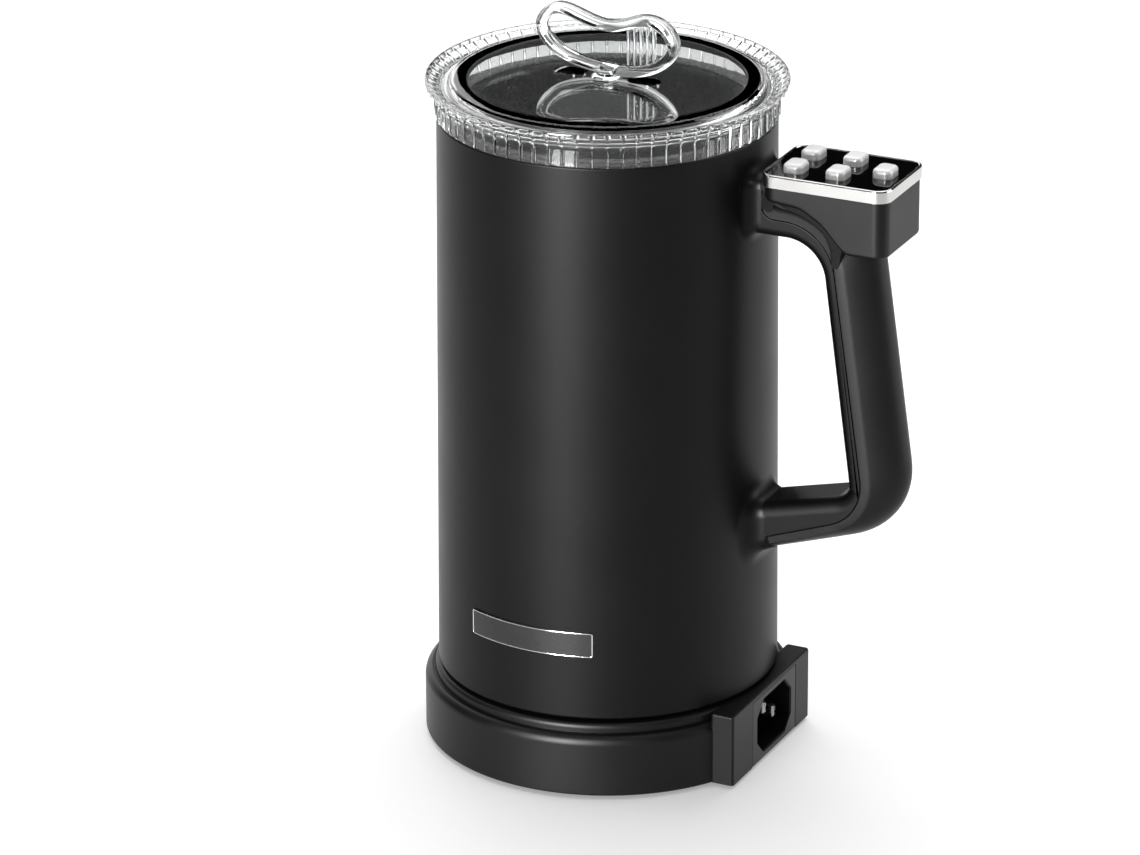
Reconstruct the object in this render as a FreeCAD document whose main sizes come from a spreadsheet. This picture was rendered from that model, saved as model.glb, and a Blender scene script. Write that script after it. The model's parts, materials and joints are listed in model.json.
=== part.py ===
import FreeCAD, Part
import math
import os

import Sketcher

# Milk frother: power base, heated jug with handle and buttons, whisk, and clear lid.
# Millimetres. Z is the jug's axis, the handle points along +X, and z = 0 is the table.

SIZES = {
    # power base
    "base_radius": 54.6, "base_bottom": 1.2, "base_shoulder": 20.0, "shoulder_round": 3.0,
    "base_step_radius": 51.5, "base_top": 22.8, "step_round": 1.6, "wall": 2.2,
    "block_face": 53.4, "block_half_width": 28.0, "block_top": 23.3, "block_start": 30.0,
    "foot_height": 0.8, "foot_radius": 4.0, "foot_circle": 45.0,
    "cover_thickness": 2.0, "rating_boss_radius": 14.0,
    "screw_circle": 40.0, "screw_shaft": 1.3, "screw_head": 2.7, "screw_boss": 3.2,
    # appliance inlet
    "inlet_centre": 2.0, "inlet_half_width": 15.7, "inlet_top": 21.9, "inlet_back": 36.0,
    "recess_half_width": 12.2, "recess_low": 3.3, "recess_high": 20.1, "recess_chamfer": 4.5,
    "recess_depth": 14.0, "pin_width": 2.0, "pin_depth": 4.0, "pin_spread": 7.0,
    "pin_low": 9.7, "pin_high": 13.7, "pin_front": 50.4, "pin_back": 31.0,
    # any-angle connector
    "plug_radius": 10.6, "plug_top": 33.0, "plug_flange": 16.0, "plug_bottom": 18.4,
    "plate_hole": 12.0, "ring_groove_inner": 5.4, "ring_groove_outer": 7.8,
    "ring_groove_floor": 24.0, "plug_bore": 2.7, "contact_thickness": 0.6,
    "socket_bore": 11.2, "socket_radius": 14.5, "socket_ceiling": 34.0, "socket_top": 37.0,
    # jug
    "jug_radius_bottom": 50.55, "jug_radius_top": 49.45, "jug_bottom": 23.8, "jug_top": 193.5,
    "jug_wall": 2.2, "jug_cover_bottom": 24.4, "jug_cover_top": 27.0, "jug_cover_radius": 47.9,
    "jug_foot_bottom": 23.1, "jug_foot_inner": 38.0, "jug_foot_outer": 41.0,
    "jug_screw_circle": 44.0, "jug_boss": 4.6,
    "liner_inner": 40.6, "liner_wall": 1.2, "liner_floor": 84.0, "liner_rim_top": 195.1,
    "liner_rim_outer": 47.1, "liner_rim_low": 191.5, "liner_rim_round": 3.0,
    # drive and electronics
    "board_radius": 40.0, "board_bottom": 41.0, "board_thickness": 1.6, "post_circle": 30.0,
    "motor_radius": 13.0, "motor_bottom": 46.0, "bracket_bottom": 66.0, "bracket_radius": 37.0,
    "bracket_post_circle": 33.6, "bracket_post": 2.2, "shaft_radius": 1.5, "shaft_clearance": 0.06,
    "hub_radius": 12.0, "hub_bottom": 71.0, "hub_top": 78.5, "magnet_radius": 3.0,
    "magnet_circle": 7.5, "magnet_height": 4.0,
    "heater_inner": 22.0, "heater_outer": 31.0, "heater_height": 3.5,
    # whisk
    "spindle_top": 101.0, "whisk_bottom": 89.1, "whisk_foot": 9.8, "whisk_long": 19.8,
    "whisk_lobe": 5.0, "whisk_short": 13.0, "whisk_waist": 6.5, "whisk_hub_top": 113.0,
    "stalk_radius": 3.75, "stalk_top": 130.0, "knob_radius": 6.25,
    "coil_ring_radius": 27.5, "coil_tube_radius": 7.2, "wire_radius": 0.35, "coil_turns": 50,
    "hoop_radius": 0.45,
    # handle and control panel
    "grip_width": 18.6, "stub_width": 26.0, "housing_width": 28.8,
    "housing_end": 93.0, "housing_low": 166.5, "housing_top": 183.5, "housing_start": 54.5,
    "trim_length": 39.7, "trim_width": 30.0, "trim_top": 187.5, "trim_round": 4.5,
    "trim_wall": 1.1, "trim_ledge": 0.6, "panel_centre": 73.75, "plate_low": 185.7,
    "plate_top": 187.2, "button_length": 6.0, "button_width": 7.6, "button_round": 2.0,
    "button_top": 189.8, "button_bottom": 183.2, "button_gap": 0.3, "button_lip": 0.7,
    "lip_height": 1.4, "inner_row": 62.2, "middle_row": 75.2, "end_row": 87.0,
    "row_spread": 6.4, "button_board_low": 178.0, "switch_size": 6.0, "switch_height": 2.4,
    "plunger_height": 0.3,
    # badge
    "badge_low": 43.5, "badge_high": 51.3, "badge_inner": 50.43, "badge_thickness": 0.5,
    "badge_angle": 46.3, "badge_middle": -93.0,
    # lid
    "skirt_outer": 49.6, "skirt_inner": 48.0, "skirt_bottom": 193.8, "flange_radius": 52.9,
    "flange_top": 205.2, "valley_outer": 48.6, "valley_inner": 46.0, "valley_top": 202.8,
    "disc_radius": 45.2, "disc_top": 204.5, "disc_bottom": 202.9, "peg_radius": 2.0,
    "gasket_inner": 40.0, "gasket_outer": 44.1, "gasket_bottom": 199.8, "lip_bottom": 200.5,
    "vent_offset": 11.7, "vent_length": 10.0, "vent_width": 6.4,
    "loop_bottom": 205.3, "loop_depth": 5.6, "loop_rim": 3.4, "loop_web": 1.6,
    "loop_stub": 3.3,
}

doc = FreeCAD.newDocument("MilkFrother")


class Size:
    """A number that also knows the spreadsheet expression that gives it."""

    def __init__(self, value, text):
        self.value = value
        self.text = text

    def __add__(self, other):
        other = as_size(other)
        return Size(self.value + other.value, f"({self.text} + {other.text})")

    def __sub__(self, other):
        other = as_size(other)
        return Size(self.value - other.value, f"({self.text} - {other.text})")

    def __mul__(self, other):
        other = as_size(other)
        return Size(self.value * other.value, f"({self.text} * {other.text})")

    def __truediv__(self, other):
        other = as_size(other)
        return Size(self.value / other.value, f"({self.text} / {other.text})")

    def __rsub__(self, other):
        return as_size(other) - self

    def __neg__(self):
        return as_size(0) - self

    __radd__ = __add__
    __rmul__ = __mul__


def as_size(item):
    if isinstance(item, Size):
        return item
    return Size(float(item), f"({float(item)!r})")


def make_sheet():
    """The driving dimensions: names in column A, aliased numbers in column B."""
    sheet = doc.addObject("Spreadsheet::Sheet", "Sizes")
    for row, (name, value) in enumerate(SIZES.items(), start=1):
        sheet.set(f"A{row}", name)
        sheet.set(f"B{row}", str(value))
        sheet.setAlias(f"B{row}", name)
    doc.recompute()


def size(name):
    return Size(float(SIZES[name]), f"Sizes.{name}")


def bind(thing, field, item):
    """Sets a length of an object from the spreadsheet."""
    thing.setExpression(field, as_size(item).text)


def place(thing, x=0, y=0, z=0):
    """Puts an object at x, y, z, all bound to the spreadsheet."""
    bind(thing, "Placement.Base.x", x)
    bind(thing, "Placement.Base.y", y)
    bind(thing, "Placement.Base.z", z)


# ---------------------------------------------------------------- sketches

def new_body(label):
    body = doc.addObject("PartDesign::Body", label)
    body.Label = label
    return body


def add_sketch(body, plane, offset=0):
    """A sketch on one of the body's own planes, moved along the plane's normal."""
    sketch = body.newObject("Sketcher::SketchObject", body.Name + "_sketch")
    origin_plane = [item for item in body.Origin.OriginFeatures if item.Role == plane][0]
    sketch.AttachmentSupport = [(origin_plane, "")]
    sketch.MapMode = "FlatFace"
    bind(sketch, "AttachmentOffset.Base.z", offset)
    return sketch


def pin_point(sketch, geometry, point, u, v):
    """Fixes one point of a sketch at u, v from the sketch's origin."""
    for kind, item in (("DistanceX", as_size(u)), ("DistanceY", as_size(v))):
        rule = Sketcher.Constraint(kind, -1, 1, geometry, point, item.value)
        index = sketch.addConstraint(rule)
        sketch.setExpression(f"Constraints[{index}]", item.text)


def corner_points(before, corner, after, radius):
    """Where a round of this radius leaves the two sides, its centre and its ends."""
    to_before = (before - corner).normalize()
    to_after = (after - corner).normalize()
    half = to_before.getAngle(to_after) / 2
    run = radius / math.tan(half)
    centre = corner + (to_before + to_after).normalize() * (radius / math.sin(half))
    return corner + to_before * run, corner + to_after * run, centre


def add_arc(sketch, start, end, centre, radius):
    """A circular arc the short way from start to end; tells which end comes first."""
    first = math.atan2(start.y - centre.y, start.x - centre.x)
    last = math.atan2(end.y - centre.y, end.x - centre.x)
    forward = (last - first) % (2 * math.pi) < math.pi
    if not forward:
        first, last = last, first
    circle = Part.Circle(centre, FreeCAD.Vector(0, 0, 1), radius)
    index = sketch.addGeometry(Part.ArcOfCircle(circle, first, last), False)
    return index, (1, 2) if forward else (2, 1)


def add_outline(sketch, corners):
    """A closed outline of straight sides. A corner is (u, v) or (u, v, round)."""
    count = len(corners)
    points = [FreeCAD.Vector(as_size(c[0]).value, as_size(c[1]).value, 0) for c in corners]
    rounds = [as_size(c[2]) if len(c) > 2 else None for c in corners]
    entries = []
    exits = []
    centres = []
    for index in range(count):
        if rounds[index]:
            entry, leave, centre = corner_points(
                points[index - 1], points[index], points[(index + 1) % count],
                rounds[index].value)
        else:
            entry, leave, centre = points[index], points[index], None
        entries.append(entry)
        exits.append(leave)
        centres.append(centre)
    sides = []
    for index in range(count):
        side = Part.LineSegment(exits[index], entries[(index + 1) % count])
        sides.append(sketch.addGeometry(side, False))
    for index in range(count):
        side_in = sides[index - 1]
        side_out = sides[index]
        if rounds[index] is None:
            sketch.addConstraint(Sketcher.Constraint("Coincident", side_in, 2, side_out, 1))
            pin_point(sketch, side_out, 1, corners[index][0], corners[index][1])
            continue
        arc, (arc_start, arc_end) = add_arc(
            sketch, entries[index], exits[index], centres[index], rounds[index].value)
        sketch.addConstraint(Sketcher.Constraint("Tangent", side_in, 2, arc, arc_start))
        sketch.addConstraint(Sketcher.Constraint("Tangent", arc, arc_end, side_out, 1))
        rule = sketch.addConstraint(Sketcher.Constraint("Radius", arc, rounds[index].value))
        sketch.setExpression(f"Constraints[{rule}]", rounds[index].text)
        apex = sketch.addGeometry(Part.Point(points[index]), True)
        pin_point(sketch, apex, 1, corners[index][0], corners[index][1])
        sketch.addConstraint(Sketcher.Constraint("PointOnObject", apex, 1, side_in))
        sketch.addConstraint(Sketcher.Constraint("PointOnObject", apex, 1, side_out))


def add_circle(sketch, u, v, radius):
    centre = FreeCAD.Vector(as_size(u).value, as_size(v).value, 0)
    normal = FreeCAD.Vector(0, 0, 1)
    index = sketch.addGeometry(Part.Circle(centre, normal, as_size(radius).value), False)
    rule = sketch.addConstraint(Sketcher.Constraint("Radius", index, as_size(radius).value))
    sketch.setExpression(f"Constraints[{rule}]", as_size(radius).text)
    pin_point(sketch, index, 3, u, v)


def rectangle(u_low, u_high, v_low, v_high, rounding=None):
    """The four corners of a rectangle, rounded or sharp."""
    tail = (rounding,) if rounding is not None else ()
    return [(u_low, v_low) + tail, (u_high, v_low) + tail,
            (u_high, v_high) + tail, (u_low, v_high) + tail]


# ---------------------------------------------------------------- features

def finish_feature(body, feature, sketch):
    sketch.Visibility = False
    body.Tip = feature
    doc.recompute()
    return feature


def turn(body, corners, cut=False):
    """Revolves an outline of (radius, height) corners about the Z axis."""
    sketch = add_sketch(body, "XZ_Plane")
    add_outline(sketch, corners)
    kind = "PartDesign::Groove" if cut else "PartDesign::Revolution"
    feature = body.newObject(kind, body.Name + "_turn")
    feature.Profile = sketch
    feature.ReferenceAxis = (sketch, ["V_Axis"])
    feature.Angle = 360.0
    return finish_feature(body, feature, sketch)


def extrude(body, plane, offset, length, outlines=(), circles=(), cut=False, both=False):
    """A pad along the plane's normal, or a pocket against it, or either both ways."""
    sketch = add_sketch(body, plane, offset)
    for corners in outlines:
        add_outline(sketch, corners)
    for u, v, radius in circles:
        add_circle(sketch, u, v, radius)
    kind = "PartDesign::Pocket" if cut else "PartDesign::Pad"
    feature = body.newObject(kind, body.Name + ("_pocket" if cut else "_pad"))
    feature.Profile = sketch
    if both:
        feature.SideType = "Symmetric"
    bind(feature, "Length", length)
    return finish_feature(body, feature, sketch)


def pad_up(body, low, high, outlines=(), circles=()):
    """A pad from one height to a higher one."""
    return extrude(body, "XY_Plane", low, high - low, outlines, circles)


def cut_between(body, low, high, outlines=(), circles=()):
    """A pocket through everything between two heights."""
    return extrude(body, "XY_Plane", high, high - low, outlines, circles, cut=True)


# ---------------------------------------------------------------- primitives

def cylinder(name, radius, low, high, x=0, y=0):
    item = doc.addObject("Part::Cylinder", name)
    bind(item, "Radius", radius)
    bind(item, "Height", as_size(high) - low)
    place(item, x, y, low)
    return item


def tube(name, inner, outer, low, high, x=0, y=0):
    item = doc.addObject("Part::Cut", name)
    item.Base = cylinder(name + "_outside", outer, low, high, x, y)
    item.Tool = cylinder(name + "_inside", inner, low, high, x, y)
    return item


def block(name, x_low, x_high, y_low, y_high, z_low, z_high):
    item = doc.addObject("Part::Box", name)
    bind(item, "Length", as_size(x_high) - x_low)
    bind(item, "Width", as_size(y_high) - y_low)
    bind(item, "Height", as_size(z_high) - z_low)
    place(item, x_low, y_low, z_low)
    return item


def fused(name, pieces):
    item = doc.addObject("Part::MultiFuse", name)
    item.Shapes = pieces
    return item


def group(label, pieces):
    """Identical or related separate solids that share one node."""
    item = doc.addObject("Part::Compound", label)
    item.Label = label
    item.Links = pieces
    return item


def on_circle(radius, degrees):
    angle = math.radians(degrees)
    return radius * math.cos(angle), radius * math.sin(angle)


BASE_SCREW_ANGLES = (45, 135, 225, 315)
FOOT_ANGLES = (28, 152, 208, 332)
JUG_SCREW_ANGLES = (60, 180, 300)
POST_ANGLES = (90, 210, 330)
MAGNET_ANGLES = (45, 135, 225, 315)


# ---------------------------------------------------------------- power base

def make_base_housing():
    """Stepped round shell, open below, with the square inlet block at +X."""
    body = new_body("base_housing")
    bottom = size("base_bottom")
    top = size("base_top")
    wall = size("wall")
    turn(body, [
        (0, bottom), (size("base_radius"), bottom),
        (size("base_radius"), size("base_shoulder"), size("shoulder_round")),
        (size("base_step_radius"), size("base_shoulder")),
        (size("base_step_radius"), top, size("step_round")), (0, top)])
    face = size("block_face")
    side = size("block_half_width")
    pad_up(body, bottom, size("block_top"),
           [rectangle(size("block_start"), face, -side, side)])
    cut_between(body, top, size("block_top") + 1, circles=[(0, 0, size("base_step_radius"))])
    inside_wall = size("base_radius") - wall
    under_shoulder = size("base_shoulder") - wall - 0.4
    inside_step = size("base_step_radius") - wall
    turn(body, [
        (0, bottom), (inside_wall, bottom), (inside_wall, under_shoulder),
        (inside_step, under_shoulder), (inside_step, top - wall), (0, top - wall)], cut=True)
    cut_between(body, bottom, size("block_top") - wall,
                [rectangle(size("block_start"), face - wall, wall - side, side - wall)])
    cut_between(body, 0, size("block_top") + 1,
                [rectangle(face, size("base_radius") + 1, 0.1 - side, side - 0.1)])
    cut_between(body, 0, size("inlet_top") + 0.1,
                [rectangle(face - wall - 0.5, face + 1,
                           size("inlet_centre") - size("inlet_half_width") - 0.1,
                           size("inlet_centre") + size("inlet_half_width") + 0.1)])
    cut_between(body, top - wall, top, circles=[(0, 0, size("plate_hole"))])
    boss_bottom = size("foot_height") + size("cover_thickness")
    spots = [on_circle(size("screw_circle"), angle) for angle in BASE_SCREW_ANGLES]
    pad_up(body, boss_bottom, top - wall + 0.4,
           circles=[(x, y, size("screw_boss")) for x, y in spots])
    cut_between(body, boss_bottom, boss_bottom + 10,
                circles=[(x, y, size("screw_shaft")) for x, y in spots])
    return body


def make_base_bottom_cover():
    """Flat plate that closes the base, with a raised boss at table height."""
    body = new_body("base_bottom_cover")
    low = size("foot_height")
    high = low + size("cover_thickness")
    inside = size("base_radius") - size("wall") - 0.2
    block_end = size("block_face") - size("wall") - 0.2
    block_side = size("block_half_width") - size("wall") - 0.2
    pad_up(body, low, high, circles=[(0, 0, inside)])
    cut_between(body, low, high, [rectangle(block_end, inside + 1, -block_side, block_side)])
    pad_up(body, low, high,
           [rectangle(size("block_start"), block_end, -block_side, block_side)])
    pad_up(body, 0, low + 0.4, circles=[(0, 0, size("rating_boss_radius"))])
    spots = [on_circle(size("screw_circle"), angle) for angle in BASE_SCREW_ANGLES]
    cut_between(body, low, high,
                circles=[(x, y, size("screw_shaft") + 0.4) for x, y in spots])
    cut_between(body, low, low + 1.1,
                circles=[(x, y, size("screw_head") + 0.3) for x, y in spots])
    return body


def make_screw(name, x, y, head_low, head_radius, length):
    """Pan-head screw pointing up, from its head's underside on the table side."""
    head_height = 0.9
    head = cylinder(name + "_head", head_radius, head_low, head_low + head_height, x, y)
    shaft = cylinder(name + "_shaft", size("screw_shaft"), head_low + head_height - 0.1,
                     head_low + length, x, y)
    return fused(name, [head, shaft])


def make_base_screws():
    low = size("foot_height") + 0.2
    screws = []
    for index, angle in enumerate(BASE_SCREW_ANGLES):
        x, y = on_circle(size("screw_circle"), angle)
        screws.append(make_screw(f"base_screw_{index}", x, y, low, size("screw_head"), 10))
    return group("base_screws", screws)


def make_base_feet():
    feet = []
    for index, angle in enumerate(FOOT_ANGLES):
        x, y = on_circle(size("foot_circle"), angle)
        feet.append(cylinder(f"foot_{index}", size("foot_radius"), as_size(0),
                             size("foot_height"), x, y))
    return group("base_feet", feet)


def pin_spots():
    """Centres (y, z) of the three inlet pins."""
    middle = size("inlet_centre")
    spread = size("pin_spread")
    return [(middle - spread, size("pin_low")), (middle, size("pin_high")),
            (middle + spread, size("pin_low"))]


def pin_rectangles():
    half = size("pin_width") / 2
    tall = size("pin_depth") / 2
    return [rectangle(y - half, y + half, z - tall, z + tall) for y, z in pin_spots()]


def make_inlet_socket():
    """Inlet module: a block with an eight-sided recess and a slot for each pin."""
    body = new_body("inlet_socket")
    left = size("inlet_centre") - size("inlet_half_width")
    right = size("inlet_centre") + size("inlet_half_width")
    face = size("block_face")
    floor = size("foot_height") + size("cover_thickness") + 0.1
    ceiling = size("block_top") - size("wall") - 0.1
    pad_up(body, floor, ceiling, [rectangle(size("inlet_back"), face, left, right)])
    lip_back = face - size("wall") + 0.1
    pad_up(body, size("base_bottom"), size("inlet_top"),
           [rectangle(lip_back, face, left, right)])
    y_low = size("inlet_centre") - size("recess_half_width")
    y_high = size("inlet_centre") + size("recess_half_width")
    z_low = size("recess_low")
    z_high = size("recess_high")
    slope = size("recess_chamfer")
    octagon = [(y_low + slope, z_low), (y_high - slope, z_low), (y_high, z_low + slope),
               (y_high, z_high - slope), (y_high - slope, z_high), (y_low + slope, z_high),
               (y_low, z_high - slope), (y_low, z_low + slope)]
    extrude(body, "YZ_Plane", face, size("recess_depth"), [octagon], cut=True)
    extrude(body, "YZ_Plane", face, size("block_face") - size("inlet_back"),
            pin_rectangles(), cut=True)
    return body


def make_inlet_pins():
    half = size("pin_width") / 2
    tall = size("pin_depth") / 2
    pins = []
    for index, (y, z) in enumerate(pin_spots()):
        pins.append(block(f"pin_{index}", size("pin_back"), size("pin_front"),
                          y - half, y + half, z - tall, z + tall))
    return group("inlet_pins", pins)


def make_base_connector():
    """Round plug with a centre bore and one ring groove."""
    body = new_body("base_connector")
    low = size("plug_bottom")
    under_plate = size("base_top") - size("wall")
    top = size("plug_top")
    groove = size("ring_groove_floor")
    turn(body, [
        (0, low), (size("plug_flange"), low), (size("plug_flange"), under_plate),
        (size("plug_radius"), under_plate), (size("plug_radius"), top, 1.5),
        (size("ring_groove_outer"), top), (size("ring_groove_outer"), groove),
        (size("ring_groove_inner"), groove), (size("ring_groove_inner"), top),
        (size("plug_bore"), top), (size("plug_bore"), under_plate + 0.4),
        (0, under_plate + 0.4)])
    return body


def make_base_contacts():
    groove = size("ring_groove_floor")
    outer = size("ring_groove_outer")
    ring = tube("ring_contact", outer - size("contact_thickness"), outer, groove, groove + 6)
    pin = cylinder("centre_contact", as_size(1.2), size("base_top") - size("wall") + 0.4,
                   size("plug_top") - 2)
    return group("base_contacts", [ring, pin])


# ---------------------------------------------------------------- jug

def parting_line():
    """Corners (x, z) of the line where the handle's two halves meet, from the top down."""
    top = size("housing_top")
    start = size("housing_start")
    return [(start, top), (start - 3.2, top - 11.5, 4.0),
            (start + 18.95, top - 11.7, 16.0), (start + 31.4, top - 98.5, 14.0),
            (start + 1.0, top - 109.5)]


def make_jug_shell():
    """Tapered outer wall with both handle roots and the inner half of the handle."""
    body = new_body("jug_shell")
    bottom = size("jug_bottom")
    top = size("jug_top")
    wall = size("jug_wall")
    turn(body, [
        (size("jug_radius_bottom") - wall, bottom), (size("jug_radius_bottom"), bottom, 0.8),
        (size("jug_radius_top"), top), (size("jug_radius_top") - wall, top)])
    start = size("housing_start")
    high = size("housing_top")
    upper_root = size("jug_radius_top") - 1.9
    lower_root = size("jug_radius_bottom") - 2.1
    inner_half = [(upper_root, high)] + parting_line() + [
        (start + 2.3, high - 114.0), (lower_root, high - 117.0),
        (lower_root, high - 101.2), (start + 26.1, high - 93.3, 5.0),
        (start + 15.9, high - 17.1, 12.0), (upper_root, high - 17.1)]
    extrude(body, "XZ_Plane", 0, size("grip_width"), [inner_half], both=True)
    stub = [(upper_root, high), (start, high), (start - 2.7, high - 9.5),
            (start - 4.0, high - 15.0), (upper_root, high - 16.0)]
    extrude(body, "XZ_Plane", 0, size("stub_width"), [stub], both=True)
    boss_low = size("jug_cover_top")
    spots = [on_circle(size("jug_screw_circle"), angle) for angle in JUG_SCREW_ANGLES]
    pad_up(body, boss_low, boss_low + 11, circles=[(x, y, size("jug_boss")) for x, y in spots])
    cut_between(body, boss_low, boss_low + 9,
                circles=[(x, y, size("screw_shaft")) for x, y in spots])
    for head_end, z in handle_screw_spots():
        extrude(body, "YZ_Plane", head_end, 6, circles=[(0, z, size("screw_head") + 0.1)], cut=True)
        extrude(body, "YZ_Plane", head_end + 3, 4, circles=[(0, z, size("screw_shaft"))], cut=True)
    return body


def handle_screw_spots():
    """Where each handle screw's head seats: (x, z)."""
    start = size("housing_start")
    high = size("housing_top")
    return [(start + 20.1, high - 33.5), (start + 26.3, high - 78.5)]


def make_handle_screws():
    screws = []
    for index, (head_end, z) in enumerate(handle_screw_spots()):
        body = doc.addObject("Part::Cylinder", f"handle_screw_head_{index}")
        shaft = doc.addObject("Part::Cylinder", f"handle_screw_shaft_{index}")
        for item, radius, low, high in (
                (body, size("screw_head"), head_end - 1.4, head_end),
                (shaft, size("screw_shaft"), head_end - 0.5, head_end + 9)):
            item.Placement = FreeCAD.Placement(
                FreeCAD.Vector(0, 0, 0), FreeCAD.Rotation(FreeCAD.Vector(0, 1, 0), 90))
            bind(item, "Radius", radius)
            bind(item, "Height", high - low)
            place(item, low, 0, z)
        screws.append(fused(f"handle_screw_{index}", [body, shaft]))
    return group("handle_screws", screws)


def make_handle_cover():
    """Outer half of the handle with the box that holds the control panel."""
    body = new_body("handle_cover")
    start = size("housing_start")
    high = size("housing_top")
    grip = parting_line() + [
        (start + 2.9, high - 114.4, 1.2), (start + 44.3, high - 101.1, 22.0),
        (start + 32.5, high - 17.0), (start + 32.5, high)]
    extrude(body, "XZ_Plane", 0, size("grip_width"), [grip], both=True)
    housing = [(start, high), (start - 1.39, high - 5.0), (start + 11.5, high - 5.1, 8.0),
               (start + 26.0, size("housing_low"), 3.0),
               (size("housing_end"), size("housing_low"), 2.5), (size("housing_end"), high)]
    extrude(body, "XZ_Plane", 0, size("housing_width"), [housing], both=True)
    board_low = size("button_board_low")
    inner_x = start + 2.3
    outer_x = size("housing_end") - 1.8
    side = size("housing_width") / 2 - 2.2
    cut_between(body, board_low, high, [rectangle(inner_x, outer_x, -side, side, 2.0)])
    cut_between(body, board_low - 6, board_low,
                [rectangle(inner_x + 12, outer_x - 2, 3 - side, side - 3)])
    for head_end, z in handle_screw_spots():
        extrude(body, "YZ_Plane", head_end + 9.4, 10,
                circles=[(0, z, size("screw_shaft"))], cut=True)
    return body


def make_jug_liner():
    """Coated vessel: floor with rounded corners, straight wall, thick rolled rim."""
    body = new_body("jug_liner")
    inner = size("liner_inner")
    outer = inner + size("liner_wall")
    floor = size("liner_floor")
    rim = size("liner_rim_top")
    turn(body, [
        (2.0, floor), (outer, floor, 6.0), (outer, size("liner_rim_low")),
        (size("liner_rim_outer"), size("liner_rim_low")), (size("liner_rim_outer"), rim, 0.8),
        (inner, rim, size("liner_rim_round")), (inner, floor + size("liner_wall"), 4.8),
        (2.0, floor + size("liner_wall"))])
    return body


def make_jug_bottom_cover():
    """Underside of the jug with a foot ring and three posts for the board."""
    body = new_body("jug_bottom_cover")
    low = size("jug_cover_bottom")
    high = size("jug_cover_top")
    foot = size("jug_foot_bottom")
    hole = size("socket_radius") + 0.2
    turn(body, [
        (hole, low), (size("jug_foot_inner"), low), (size("jug_foot_inner"), foot, 0.4),
        (size("jug_foot_outer"), foot, 0.4), (size("jug_foot_outer"), low),
        (size("jug_cover_radius"), low), (size("jug_cover_radius"), high), (hole, high)])
    spots = [on_circle(size("jug_screw_circle"), angle) for angle in JUG_SCREW_ANGLES]
    cut_between(body, low, high,
                circles=[(x, y, size("screw_shaft") + 0.4) for x, y in spots])
    cut_between(body, low, low + 1.1,
                circles=[(x, y, size("screw_head") + 0.2) for x, y in spots])
    posts = [on_circle(size("post_circle"), angle) for angle in POST_ANGLES]
    pad_up(body, high - 0.4, size("board_bottom"), circles=[(x, y, 3.0) for x, y in posts])
    return body


def make_jug_screws():
    screws = []
    low = size("jug_cover_bottom") + 0.2
    for index, angle in enumerate(JUG_SCREW_ANGLES):
        x, y = on_circle(size("jug_screw_circle"), angle)
        screws.append(make_screw(f"jug_screw_{index}", x, y, low, size("screw_head") - 0.1, 10))
    return group("jug_screws", screws)


def make_jug_connector():
    """Cup that drops over the base's plug; holds the jug's contacts."""
    body = new_body("jug_connector")
    low = size("jug_cover_bottom") - 0.2
    shelf = size("jug_cover_top")
    ceiling = size("socket_ceiling")
    top = size("socket_top")
    ring = size("ring_groove_inner") + 0.6
    ring_out = ring + size("contact_thickness")
    seat = ceiling + 1.5
    turn(body, [
        (0, top), (size("socket_radius"), top), (size("socket_radius"), shelf + 1.6),
        (size("socket_radius") + 3.5, shelf + 1.6), (size("socket_radius") + 3.5, shelf),
        (size("socket_radius"), shelf), (size("socket_radius"), low), (size("socket_bore"), low),
        (size("socket_bore"), ceiling), (ring_out, ceiling), (ring_out, seat), (ring, seat),
        (ring, ceiling), (2.1, ceiling), (2.1, seat), (0, seat)])
    return body


def make_jug_contacts():
    ring = size("ring_groove_inner") + 0.6
    seat = size("socket_ceiling") + 1.5
    outer = tube("jug_ring_contact", ring, ring + size("contact_thickness"), seat - 8.5, seat)
    sleeve = tube("jug_centre_contact", as_size(1.6), as_size(2.1), seat - 9.5, seat)
    return group("jug_contacts", [outer, sleeve])


def make_control_board():
    body = new_body("control_board")
    low = size("board_bottom")
    pad_up(body, low, low + size("board_thickness"), circles=[(0, 0, size("board_radius"))])
    return body


def make_board_parts():
    """Relay, capacitor, transformer and terminal block standing on the board."""
    low = size("board_bottom") + size("board_thickness")
    relay = block("relay", as_size(17), as_size(29), as_size(-9), as_size(7), low, low + 15)
    transformer = block("transformer", as_size(-31), as_size(-17), as_size(-8), as_size(8),
                        low, low + 13)
    capacitor = cylinder("capacitor", as_size(5), low, low + 14, as_size(4), as_size(27))
    terminals = block("terminals", as_size(-8), as_size(8), as_size(-31), as_size(-23),
                      low, low + 9)
    return group("board_parts", [relay, transformer, capacitor, terminals])


def make_motor():
    body = new_body("motor")
    bracket = size("bracket_bottom")
    bore = size("shaft_radius") + size("shaft_clearance")
    low = size("motor_bottom")
    turn(body, [
        (0, low), (size("motor_radius"), low, 1.5), (size("motor_radius"), bracket),
        (4.0, bracket), (4.0, bracket + 2.0), (bore, bracket + 2.0), (bore, low + 4),
        (0, low + 4)])
    return body


def make_motor_bracket():
    """Plate that carries the motor, on three posts under the vessel's floor."""
    body = new_body("motor_bracket")
    low = size("bracket_bottom")
    pad_up(body, low, low + 2, circles=[(0, 0, size("bracket_radius"))])
    spots = [on_circle(size("bracket_post_circle"), angle) for angle in POST_ANGLES]
    pad_up(body, low + 1, size("liner_floor"),
           circles=[(x, y, size("bracket_post")) for x, y in spots])
    cut_between(body, low, low + 2, circles=[(0, 0, as_size(4.0))])
    windows = [on_circle(as_size(24), angle) for angle in (0, 60, 120, 180, 240, 300)]
    cut_between(body, low, low + 2, circles=[(x, y, as_size(6.0)) for x, y in windows])
    return body


def make_drive_shaft():
    item = cylinder("drive_shaft", size("shaft_radius"), size("motor_bottom") + 4.2,
                    size("hub_top") - 1)
    item.Label = "drive_shaft"
    return item


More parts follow.
